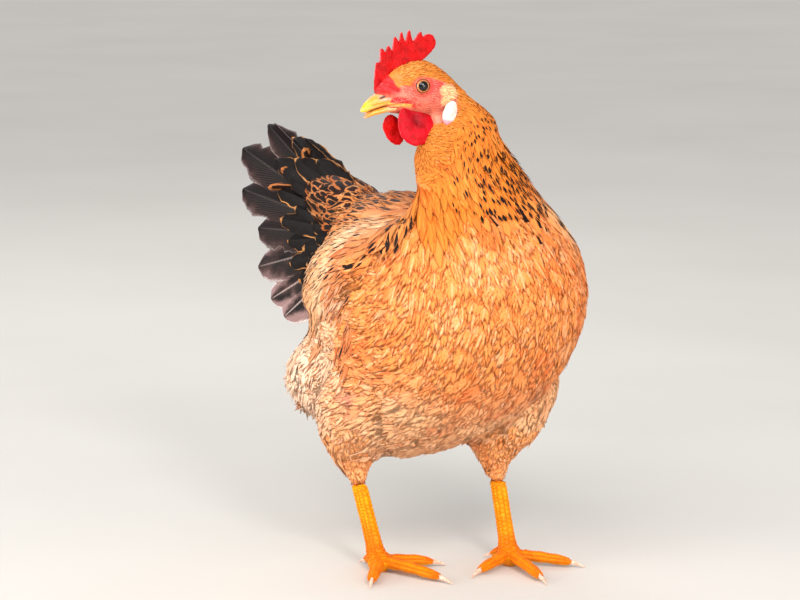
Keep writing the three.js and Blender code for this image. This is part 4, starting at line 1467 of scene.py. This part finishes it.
def fan_direction(i, side):
    """Which way quill i points, which way the fan steps to the next, and which way is out."""
    rows = np.arange(len(TAIL))

    def ahead(at):
        rise, splay = [math.radians(np.interp(at, rows, TAIL[:, k])) for k in (0, 1)]
        return pointing(rise, splay, side)

    step = ahead(min(i + 0.4, 6)) - ahead(max(i - 0.4, 0))
    along = ahead(i)
    step = (step - along * step.dot(along)).normalized()
    return along, step, step.cross(along).normalized() * side


BLADE = [-1, -0.93, -0.7, -0.4, -0.07, -0.045, 0.045, 0.07, 0.4, 0.7, 0.93, 1]


def add_quill(
    points, faces, extra, number, root_at, along, step, out, reach, half, layer, rings=26, tip_from=0.66
):
    """One blade: upper and lower rows of points along BLADE, from ring to ring."""
    first = len(points)
    n = 2 * len(BLADE)
    splits = rng.uniform(0.45, 0.97, 5)
    fray = rng.normal(0, 1, (rings + 1, 2))
    for k in range(rings + 1):
        u = k / rings
        past = max(0, (u - tip_from) / (1.005 - tip_from))
        wide = half * min(1, (u + 0.02) / 0.35) ** 0.8 * math.sqrt(max(1 - past**1.8, 0.0))
        middle = root_at + along * (reach * (0.1 + 0.9 * u)) + out * (layer - 4.5 * u * u * 0.4)
        for row in (1, -1):
            for across in BLADE if row > 0 else BLADE[::-1]:
                edge = abs(across)
                cut = 1 + 0.06 * fray[k, int(across > 0)] * (edge > 0.6) * (u > 0.3)
                cut -= sum(0.13 * (edge > 0.9) * math.exp(-(((u - at) / 0.02) ** 2)) for at in splits)
                thick = 0.28 * (1 - edge**4) + (0.75 * (1 - 0.75 * u) if edge < 0.05 else 0) + 0.06
                swept = 4.0 * edge**1.5 * (1 - u) ** 0.5 * (u > 0)
                place = middle + step * (wide * across * cut) + along * swept
                place += out * (row * thick - 2.2 * across**2 * min(1, 2 * u))
                points.append(tuple(spot(*place)))
                extra.append((u, across, number))
    for k in range(rings):
        for i in range(n):
            a, b = first + k * n + i, first + k * n + (i + 1) % n
            faces.append((a, b, b + n, a + n))
    faces.append([first + i for i in reversed(range(n))])
    faces.append([first + rings * n + i for i in range(n)])


points, faces, extra = [], [], []
for side in (1, -1):
    for i, (rise, splay, reach) in enumerate(TAIL):
        along_quill, step, out = fan_direction(i, side)
        half = 18 if i else 13
        layer = 2.6 - 0.75 * i + (1.2 if i == 0 else 0)
        number = i + 0.03 * side + 0.5
        start = Vector(TAIL_ROOT)
        add_quill(points, faces, extra, number, start, along_quill, step, out, reach + 1, half, layer)

#          share of the quill under it, half width, how far it stands off, first place along the fan
COVERTS = [(0.72, 10.5, 3.4, 0.0), (0.58, 10, 5.4, 0.4), (0.45, 9.5, 7.2, 0.0)]
for side in (1, -1):
    for tier, (share, half, layer, first) in enumerate(COVERTS):
        for i in np.arange(first, 6.2, 0.85):
            rise, splay, reach = [float(np.interp(i, range(7), TAIL[:, k])) for k in range(3)]
            high = max(0, 1 - i / 2.4)  # the topmost spring from the back, above the quills
            a, b = math.radians(rise - 7.5 * high), math.radians(splay + rng.normal(0, 1.5))
            along_quill = pointing(a, b, side)
            _, step, out = fan_direction(i, side)
            step = (step - along_quill * step.dot(along_quill)).normalized()
            out = step.cross(along_quill).normalized() * side
            start = Vector(TAIL_ROOT) + Vector((0, 0, 26 * high))
            number = 10 + 0.1 * i + tier + 0.03 * side
            reach *= share
            add_quill(
                points, faces, extra, number, start, along_quill, step, out, reach, half, layer, 16, 0.6
            )
quills = object_of("tail_quills", mesh_of("tail_quills", points, faces))
for k, key in enumerate(("along", "across", "number")):
    store_field(quills.data, key, [row[k] for row in extra])
bm = bmesh.new()
bm.from_mesh(quills.data)
bmesh.ops.recalc_face_normals(bm, faces=bm.faces)
bm.to_mesh(quills.data)
bm.free()
unwrap(quills)


def make_quill_paint():
    p = Paint("tail_quill", specular_ior_level=0.2)
    along, across, number = p.attribute("along"), p.attribute("across"), p.attribute("number")
    aside = across.size()
    wander = p.noise(90.0, 4.0) - 0.5
    fine = p.noise(420.0, 3.0) - 0.5
    low = number.step(3.2, 6.4)
    colour = p.mix(tone("140B0A"), tone("2E1815"), (aside + wander).step(0.2, 0.9) * 0.8)
    colour = p.mix(colour, tone("6E504C"), low * (wander * 2.0 + 0.5).step(0.2, 0.9) * 0.8)
    grey = (aside * 0.75 + along * 0.5 + wander * 0.9 + low * 0.35).step(0.85, 1.25) * (0.14 + low * 0.76)
    colour = p.mix(colour, tone("A88886"), grey)
    colour = p.mix(colour, tone("F0E4E2"), (aside + fine * 0.2).step(0.84, 0.98) * (0.15 + low * 0.8))
    colour = p.mix(colour, tone("CDB8B2"), aside.step(0.06, 0.035) * (0.04 + low * 0.55))
    cover = number.step(9.4, 9.6)
    laced = (aside + wander * 0.3).step(0.9, 0.96).math("MAXIMUM", (along + wander * 0.12).step(0.965, 0.98))
    laced = laced * p.noise(38.0, 2.0).step(0.36, 0.46)
    own = p.mix(tone("0E0706"), tone("C88A52"), laced)
    colour = p.mix(colour, own, cover)
    line = (along * 190.0 - aside * 55.0 + fine * 4.0).math("SINE")
    colour = p.mix(colour, p.times(colour, tone("8A7672")), line.step(0.0, 1.0) * 0.45)
    return p.finish(colour, 0.5 + grey * 0.2, line * 0.6 + fine, 0.4, 0.0004)


quills.data.materials.append(make_quill_paint())
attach(quills, "root")
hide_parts("tail")
print("tail quills", len(quills.data.polygons), "faces")

# %% [markdown]
# ## Comb, wattles and ear lobes
#
# These are bare, blood-filled skin. Their solids have the right outline but flat sides and hard rims. So each
# is remeshed finely, relaxed until its rims are round, and given its grain as real relief: small warts and
# a few slow folds, pushed along the normals.

# %% Fleshy pieces
def fleshy(name, node, voxel, rounds, swell=0.15):
    """A CAD node's copy with fine even faces and rounded rims."""
    made = remeshed(name, shell_of([node], swell * MM), voxel * MM)
    relax(made.data, rounds)
    return made


def push_out(mesh, by):
    """Moves points along their normals, each by its own millimetres."""
    co, out = arrays(mesh)
    move_to(mesh, co + out * (by * MM)[:, None])


def roughen(mesh, warts, grain, folds, wave):
    """Pushes points along their normals: warts of a grain's size, folds of a wave's, all in millimetres."""
    push = []
    for p in arrays(mesh)[0]:
        wart = warts * (0.5 - noise.voronoi(Vector(p) / (grain * MM))[0][0])
        push.append(wart + folds * noise.noise(Vector(p) / (wave * MM)))
    push_out(mesh, np.array(push))


def painted(mesh, base, layers):
    """The point colours of a piece: a base, and layers of share and colour over it."""
    colours = np.tile(tone(base), (len(mesh.vertices), 1))
    for share, colour in layers:
        share = np.clip(share, 0, 1)[:, None]
        colours = colours * (1 - share) + np.array(tone(colour)) * share
    store_field(mesh, "tint", np.c_[colours, np.ones(len(colours))])


def in_head_frame(mesh):
    """Vertex positions and normals in the head's frame."""
    co, out = arrays(mesh)
    return through(TO_HEAD, co), out @ head_turn


def dress(made, slot, nodes, *materials):
    """Smooth, with its materials, riding and standing for its nodes. The slot is not used."""
    made.data.shade_smooth()
    made.data.materials.clear()
    for material in materials:
        made.data.materials.append(material)
    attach(made, "root")
    if nodes:
        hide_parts(*nodes)
    print(made.name, len(made.data.polygons), "faces")


# %% Red flesh material
def make_flesh_paint(name, deep, rough, strength):
    p = Paint(name, subsurface_weight=0.05, subsurface_scale=0.001, specular_ior_level=0.12)
    grain = p.noise(1100.0, 3.0)
    patches = p.noise(170.0, 2.0)
    colour = p.attribute("tint", "Color")
    colour = p.mix(colour, p.times(colour, tone(deep)), patches.step(0.45, 0.7) * 0.6)
    colour = p.mix(colour, tone("F7A79C"), grain.step(0.62, 0.8) * 0.05)
    return p.finish(colour, rough + grain * 0.15, grain + patches * 0.5, strength, 0.0005)


red_flesh = make_flesh_paint("red_flesh", "C0392E", 0.36, 0.45)
lobe_flesh = make_flesh_paint("lobe_flesh", "E8D2C8", 0.45, 0.2)

comb = fleshy("comb", "comb", 0.5, 2, 0.25)
at, out = in_head_frame(comb.data)
rim = np.maximum(smooth_step(at[:, 2], 12, 34), smooth_step(-at[:, 1], 27, 37))
at[:, 0] *= 1 - 0.5 * rim  # a comb thins out towards its rim
move_to(comb.data, through(HEAD_MM, at))
fold = 0.9 * np.exp(-(((at[:, 1] + 31 + 0.55 * (at[:, 2] - 4)) / 1.4) ** 2)) * smooth_step(at[:, 2], 13, 3)
push_out(comb.data, -fold)
roughen(comb.data, 0.35, 1.2, 0.5, 7)
at, out = in_head_frame(comb.data)
rim = smooth_step(np.abs(out[:, 0]), 0.75, 0.25)
painted(comb.data, "BA0205", [
    (0.6 * smooth_step(at[:, 2], 12, 0), "B8101C"),
    # The fold pressed in at the comb's front foot is painted deep red: painted shade in the groove.
    (0.7 * fold, "7E0A16"),
    (0.55 * rim * smooth_step(at[:, 2], 4, 12), "F58C90"),
])
dress(comb, "comb", ["comb"], red_flesh)

for side, name in ((1, "left"), (-1, "right")):
    wattle = fleshy("wattle_" + name, "wattle_" + name, 0.6, 6, 0.3)
    at, out = in_head_frame(wattle.data)
    middle = at.mean(0)
    y, z = (at[:, 1] - middle[1]), (at[:, 2] - middle[2])
    if side > 0:
        at[:, 2] += 4.5 * np.exp(-(((y + 8) / 4.5) ** 2)) * smooth_step(z, 1, 9)  # its corner at the mouth
    else:
        at[:, 1] = middle[1] + 0.8 * y - 0.28 * z
    move_to(wattle.data, through(HEAD_MM, at))
    dent = np.exp(-(((y + 1.2 * z * 0.2 - 1) / 5) ** 2) - ((z - 4) / 5.5) ** 2)
    push_out(wattle.data, -1.1 * dent * (out[:, 0] * side > 0))
    roughen(wattle.data, 0.5, 1.3, 0.6, 6)
    rim = smooth_step(np.abs(in_head_frame(wattle.data)[1][:, 0]), 0.7, 0.3)
    painted(wattle.data, "B60618" if side > 0 else "CC0808", [
        # The dent pressed into the outer face is painted dark red: painted shade in the hollow.
        (0.8 * dent * (out[:, 0] * side > 0), "7E0616"),
        (0.35 * smooth_step(z, 2, -6), "DC1626"),
        (0.25 * rim, "E8606C"),
    ])
    dress(wattle, "wattle", ["wattle_" + name], red_flesh)

    lobe = fleshy("earlobe_" + name, "earlobe_" + name, 0.5, 5, 0.2)
    roughen(lobe.data, 0.2, 1.6, 0.5, 4)
    at, out = in_head_frame(lobe.data)
    low = at[:, 2] - at[:, 2].mean()
    at[:, 1] += 0.25 * low  # it leans, its lower end towards the bill
    move_to(lobe.data, through(HEAD_MM, at))
    painted(lobe.data, "DCD2CA", [
        (0.75 * smooth_step(low + 0.35 * (at[:, 1] - at[:, 1].mean()), -4.2, -7.4), "DE6C86"),
        (0.3 * smooth_step(np.abs(out[:, 0]), 0.6, 0.2), "F3B8B4"),
    ])
    dress(lobe, "earlobe", ["earlobe_" + name], lobe_flesh)

# %% [markdown]
# ## Bill
#
# Horn over bone: the upper half overlaps the lower, with a slanting nostril in a fleshy cere at its root. The
# halves are remeshed so finely that the nostril can be pressed in as shape, and the horn's colours run from
# pink at the root over tan to yellow at the tip.

# %% Bill halves
def make_horn_paint():
    p = Paint(
        "bill_horn", coat_weight=0.25, coat_roughness=0.2, subsurface_weight=0.08, subsurface_scale=0.002
    )
    grain = p.noise(500.0, 3.0)
    streak = p.noise(140.0, 3.0)
    colour = p.attribute("tint", "Color")
    colour = p.mix(colour, p.times(colour, tone("C98A4A")), streak.step(0.5, 0.75) * 0.4)
    return p.finish(colour, 0.34 + grain * 0.15, grain + streak, 0.25, 0.0004)


horn = make_horn_paint()
NOSTRIL = (-32.8, -3.7, 20)  # y, z and slant of the slit
SEAM = [(-24, -11.2), (-32, -11.7), (-40, -13.5), (-46, -17), (-50, -18.4)]
for name, lower in (("bill_upper", False), ("bill_lower", True)):
    half = fleshy(name, name, 0.45, 3, 0.35)
    at, out = in_head_frame(half.data)
    c, s = math.cos(math.radians(NOSTRIL[2])), math.sin(math.radians(NOSTRIL[2]))
    dy, dz = at[:, 1] - NOSTRIL[0], at[:, 2] - NOSTRIL[1]
    along, across = (dy * c + dz * s) / 3.9, (dz * c - dy * s) / 0.95
    slit = np.exp(-(along**4) - across**2) * (np.abs(out[:, 0]) > 0.25) * (not lower)
    brow = np.exp(-(along**2) - ((across - 2.2) / 1.3) ** 2) * (not lower)
    push_out(half.data, 0.55 * brow - 1.5 * slit)
    roughen(half.data, 0.08, 1.5, 0.12, 3)
    at, _ = in_head_frame(half.data)
    y, z = at[:, 1], at[:, 2]
    seam = np.abs(z - np.interp(y, [p for p, _ in SEAM[::-1]], [q for _, q in SEAM[::-1]]))
    painted(half.data, "E89C36", [
        (0.9 * smooth_step(y, -41, -46.5) * (not lower), "F0BE22"),
        (0.6 * smooth_step(y, -44, -47) * lower, "EBA79A"),
        (0.8 * smooth_step(y, -39, -34) * (not lower) * smooth_step(z, -8.5, -6), "F0A088"),
        (0.7 * smooth_step(y, -34, -28) * (not lower) * smooth_step(z, -7, -4), "D8302E"),
        (0.5 * smooth_step(y, -36, -28) * lower, "F3B496"),
        (0.5 * smooth_step(np.abs(z + 10.6 - 0.14 * (y + 36)), 1.5, 0.4), "F9CF7C"),
        # A brown line where the halves meet: painted shade of the closed mouth's slit.
        (0.8 * smooth_step(seam, 0.6, 0.2), "9A5A2A"),
        # The pressed-in nostril is painted nearly black: painted shade inside the opening.
        (0.95 * smooth_step(slit, 0.25, 0.6), "3A130C"),
    ])
    dress(half, "bill", [name], horn)

# %% [markdown]
# ## Eyes
#
# A hen's eye is a dark ball with a big pupil and a thin amber iris, under a clear wet cornea. The ball is
# turned about its gaze, so that pupil and iris are simply distances from that axis. Its gloss comes from a
# clear coat, which catches the lamps.

# %% Eyeballs
def make_eye_paint():
    p = Paint("eye", coat_weight=1.0, coat_roughness=0.02, coat_ior=1.5, specular_ior_level=0.0)
    reach = p.attribute("reach") + (p.noise(700.0, 2.0) - 0.5) * 0.25
    fleck = p.noise(1500.0, 3.0)
    iris = p.mix(tone("A05028"), tone("D08850"), fleck.step(0.3, 0.7))
    colour = p.mix(tone("020202"), iris, reach.step(3.55, 3.8))
    colour = p.mix(colour, tone("2A0F08"), reach.step(4.65, 4.9))
    return p.finish(colour, 0.25)


eye_paint = make_eye_paint()
for side, name in ((1, "left"), (-1, "right")):
    turn = Vector(mirrored(GAZE, side)).to_track_quat("Z", "Y").to_matrix()
    centre = Vector(mirrored(EYE_AT, side))
    bm = bmesh.new()
    bmesh.ops.create_uvsphere(bm, u_segments=48, v_segments=40, radius=1)
    reach = []
    for v in bm.verts:
        distance = math.hypot(v.co.x, v.co.y) * EYE_RADIUS
        reach.append(distance if v.co.z > 0 else 9)
        bulge = 1 + 0.035 * math.exp(-((distance / 3.6) ** 2)) * (v.co.z > 0)
        v.co = HEAD_MM @ (centre + turn @ (v.co * (EYE_RADIUS - 0.15) * bulge))
    eye = object_of("eye_" + name + "_ball", bpy.data.meshes.new("eye"))
    bm.to_mesh(eye.data)
    bm.free()
    store_field(eye.data, "reach", reach)
    dress(eye, "eye", ["eye_" + name], eye_paint)

# %% [markdown]
# ## Legs
#
# Shank and foot are one piece of scaly skin on the bird, so their solids are joined and smoothed into one.
# The scales are real plates over it: two rows of big ones down the front of the shank, small ones round its
# sides, and cross plates along each toe. They repeat by the hundred, so the tree that lays feathers lays
# them too, from a template of its own.

# %% Leg skins
def make_leg_paint(name, colour_a, colour_b):
    """A patchy paint in two colours: the paint, its colour so far and its grain."""
    p = Paint(name, specular_ior_level=0.12)
    grain = p.noise(700.0, 3.0)
    patches = p.noise(90.0, 2.0)
    colour = p.mix(tone(colour_a), tone(colour_b), patches.step(0.35, 0.65))
    return p, colour, grain


p, colour, grain = make_leg_paint("leg_skin", "D98008", "C46C0A")
leg_paint = p.finish(p.mix(colour, tone("F79C0C"), 0.35), 0.5, grain, 0.3, 0.0004)

p, colour, grain = make_leg_paint("scutes", "E89A08", "E28606")
rim = p.attribute("across").size().step(0.72, 1.0).math("MAXIMUM", p.attribute("along").step(0.2, 0.02))
colour = p.mix(colour, tone("FFAC22"), (p.attribute("random") * 5.1).math("FRACT").step(0.6, 1.0) * 0.4)
height_of = p.node("ShaderNodeSeparateXYZ", {}, {0: p.place()}, 2)
colour = p.mix(colour, p.times(colour, tone("F0B070")), height_of.step(0.045, 0.012) * 0.8)
colour = p.mix(colour, tone("A24A0E"), rim * 0.6)
toe_rim = rim * height_of.step(0.022, 0.012) * height_of.step(0.004, 0.007) * 0.7
colour = p.mix(colour, tone("6E2C0A"), toe_rim)
scute_paint = p.finish(colour, 0.36 + grain * 0.15, grain, 0.25, 0.0003)

LEGS = {
    "left": {"side": 1, "foot": (44.5, -24), "heading": -18, "hock": (47.5, -1.5, 80)},
    "right": {"side": -1, "foot": (-44.5, 24), "heading": 12, "hock": (-43, 58, 80)},
}
TOES = {"inner": (56, 42), "middle": (0, 58), "outer": (-58, 47), "hind": (160, 20)}  # turn, length
# turn round the shank, half width, length, spacing, start
SHANK_ROWS = [
    (21, 2.7, 4.3, 3.5, 0),
    (-21, 2.7, 4.3, 3.5, 1.75),
    (60, 1.9, 3.0, 2.5, 0),
    (-60, 1.9, 3.0, 2.5, 1.2),
    (92, 1.7, 2.7, 2.3, 1.1),
    (-92, 1.7, 2.7, 2.3, 0),
    (124, 1.7, 2.7, 2.3, 0),
    (-124, 1.7, 2.7, 2.3, 1.1),
    (158, 2.1, 3.0, 2.6, 1.2),
    (-158, 2.1, 3.0, 2.6, 0),
]
# tilt from the toe's top, half width, spacing
TOE_ROWS = [(0, 3.1, 2.5), (48, 1.7, 2.3), (-48, 1.7, 2.3), (85, 1.3, 2.2), (-85, 1.3, 2.2)]
leg_roots = []


def scute_at(tree, from_mm, to_mm, lie_of, wide, long, rise):
    """A root where a line from outside meets the leg, if it does."""
    start, end = spot(*from_mm), spot(*to_mm)
    hit, normal, _, _ = tree.ray_cast(start, (end - start).normalized(), (end - start).length)
    if hit is not None:
        leg_roots.append((hit, normal, lie_of, (wide, long, rise)))


for name, leg in LEGS.items():
    made = remeshed("leg_" + name, shell_of(["shank_" + name, "foot_" + name], 0.25 * MM), 0.9 * MM)
    relax(made.data, 5)
    co, out = arrays(made.data)
    co[:, 2] = np.maximum(co[:, 2], 0)
    move_to(made.data, co)
    dress(made, "shank", ["shank_" + name, "foot_" + name], leg_paint)
    tree = BVHTree.FromPolygons([Vector(c) for c in co], [tuple(f.vertices) for f in made.data.polygons])

    foot, hock = Vector((*leg["foot"], 4)), Vector(leg["hock"])
    axis = (hock - foot).normalized()
    forward = Matrix.Rotation(math.radians(leg["heading"]), 3, "Z") @ Vector((0, -1, 0))
    for turn, wide, long, gap, start in SHANK_ROWS:
        for reach in np.arange(7 + start, 80, gap):
            centre = foot + axis * reach
            out_to = Matrix.Rotation(math.radians(turn + rng.normal(0, 1.5)), 3, axis) @ forward
            out_to = (out_to - axis * out_to.dot(axis)).normalized()
            grow = 1 + 0.35 * max(0, 1 - (reach - 6) / 14)
            plate_long = long * rng.uniform(0.95, 1.1)
            scute_at(tree, centre + out_to * 22, centre, -axis, wide * grow, plate_long, 0.45)
    for toe, (turn, length) in TOES.items():
        heading = math.radians(leg["heading"] - leg["side"] * turn)
        ahead = Matrix.Rotation(heading, 3, "Z") @ Vector((0, -1, 0))
        heights = (13, 5) if toe == "hind" else (7.5, 4.1)
        across = Vector((ahead.y, -ahead.x, 0))
        for tilt, wide, gap in TOE_ROWS:
            for reach in np.arange(5 + 1.1 * (tilt != 0), length - 1, gap):
                share = reach / length
                centre = Vector((*leg["foot"], 0)) + ahead * reach
                centre.z = heights[0] + (heights[1] - heights[0]) * share
                out_to = Vector((0, 0, math.cos(math.radians(tilt)))) + across * math.sin(math.radians(tilt))
                plate_wide = wide * (1 - 0.25 * share)
                scute_at(tree, centre + out_to * 13, centre, ahead, plate_wide, gap * 1.25, 0.4)
print("scutes", len(leg_roots))

# %% Scutes
PLATE_TOP, PLATE_BASE = 0.00062, -0.0006  # height of a scute's crown and how deep its base lies


def plate(u):
    """Half width of a scute."""
    return math.sqrt(max(1 - abs(2 * u - 1) ** 2.6, 0.02))


scute = vane("scute", plate, 0.62, 0.25, 0.0, 0.0, (0, 0.2, 0.5, 0.8, 1.0))
scute_fields = [scute.attributes[key].data for key in ("along", "across", "height")]
scute.attributes["height"].data.foreach_set("value", [
    PLATE_TOP * (1 - abs(2 * u.value - 1) ** 3) * (1 - a.value**4) if z.value >= 0 else PLATE_BASE
    for u, a, z in zip(*scute_fields)
])


def scute_points():
    """The scutes' roots as points, with the fields that the tree reads."""
    n = len(leg_roots)
    mesh = mesh_of("scutes", [hit for hit, *_ in leg_roots], [])
    normals = np.array([normal for _, normal, _, _ in leg_roots])
    sizes_of = np.array([size for *_, size in leg_roots]) * MM
    fields = {
        "out": normals,
        "lie": tangent(np.array([lie_of for _, _, lie_of, _ in leg_roots]), normals),
        "size": np.c_[sizes_of[:, :2], np.ones(n)],
        "root_uv": np.c_[rng.random((n, 2)), np.zeros(n)],
        "rise": sizes_of[:, 2],
        "random": rng.random(n),
    }
    for key, values in fields.items():
        store_field(mesh, key, values)
    mesh.attributes.new("variant", "INT", "POINT")
    return mesh


legs_skin = object_of("legs_skin", bpy.data.meshes.new("legs_skin"))
bm = bmesh.new()
for name in LEGS:
    bm.from_mesh(bpy.data.objects["leg_" + name].data)
bm.to_mesh(legs_skin.data)
bm.free()
store_field(legs_skin.data, "out", arrays(legs_skin.data)[1])
shelf = bpy.data.collections.new("scute_template")
shelf.objects.link(bpy.data.objects.new("scute", scute))
scutes = object_of("scutes", scute_points())
lay.grow(scutes, Skin=legs_skin, Vanes=shelf, Paint=scute_paint, Patch=TUFT_PATCH, Letgo=0.0)
bpy.data.objects.remove(bpy.data.objects["scute"])
bpy.data.objects.remove(legs_skin)
dress(scutes, "shank", [], scute_paint)

# %% [markdown]
# ## Claws
#
# Each claw is a curved horn. The solids have the right curve with few faces, so one Subdivision Surface on a
# joined copy rounds them, and the material mottles pink horn with paler and darker, worn patches.

# %% Claws
claw_nodes = [name for name in frame["nodes"] if name.startswith("claw_")]
claws = object_of("claws", shell_of(claw_nodes, 0.12 * MM))
step = claws.modifiers.new("round", "SUBSURF")
step.levels = step.render_levels = 2
evaluated(claws)
p = Paint("claw_horn", coat_weight=0.2, coat_roughness=0.25, subsurface_weight=0.1, subsurface_scale=0.002)
grain = p.noise(420.0, 3.0)
colour = p.mix(tone("E6A98C"), tone("F4D8C4"), grain.step(0.4, 0.7))
colour = p.mix(colour, tone("B8785A"), p.noise(150.0).step(0.58, 0.75) * 0.6)
dress(claws, "claw", claw_nodes, p.finish(colour, 0.35 + grain * 0.15, grain, 0.25, 0.0003))
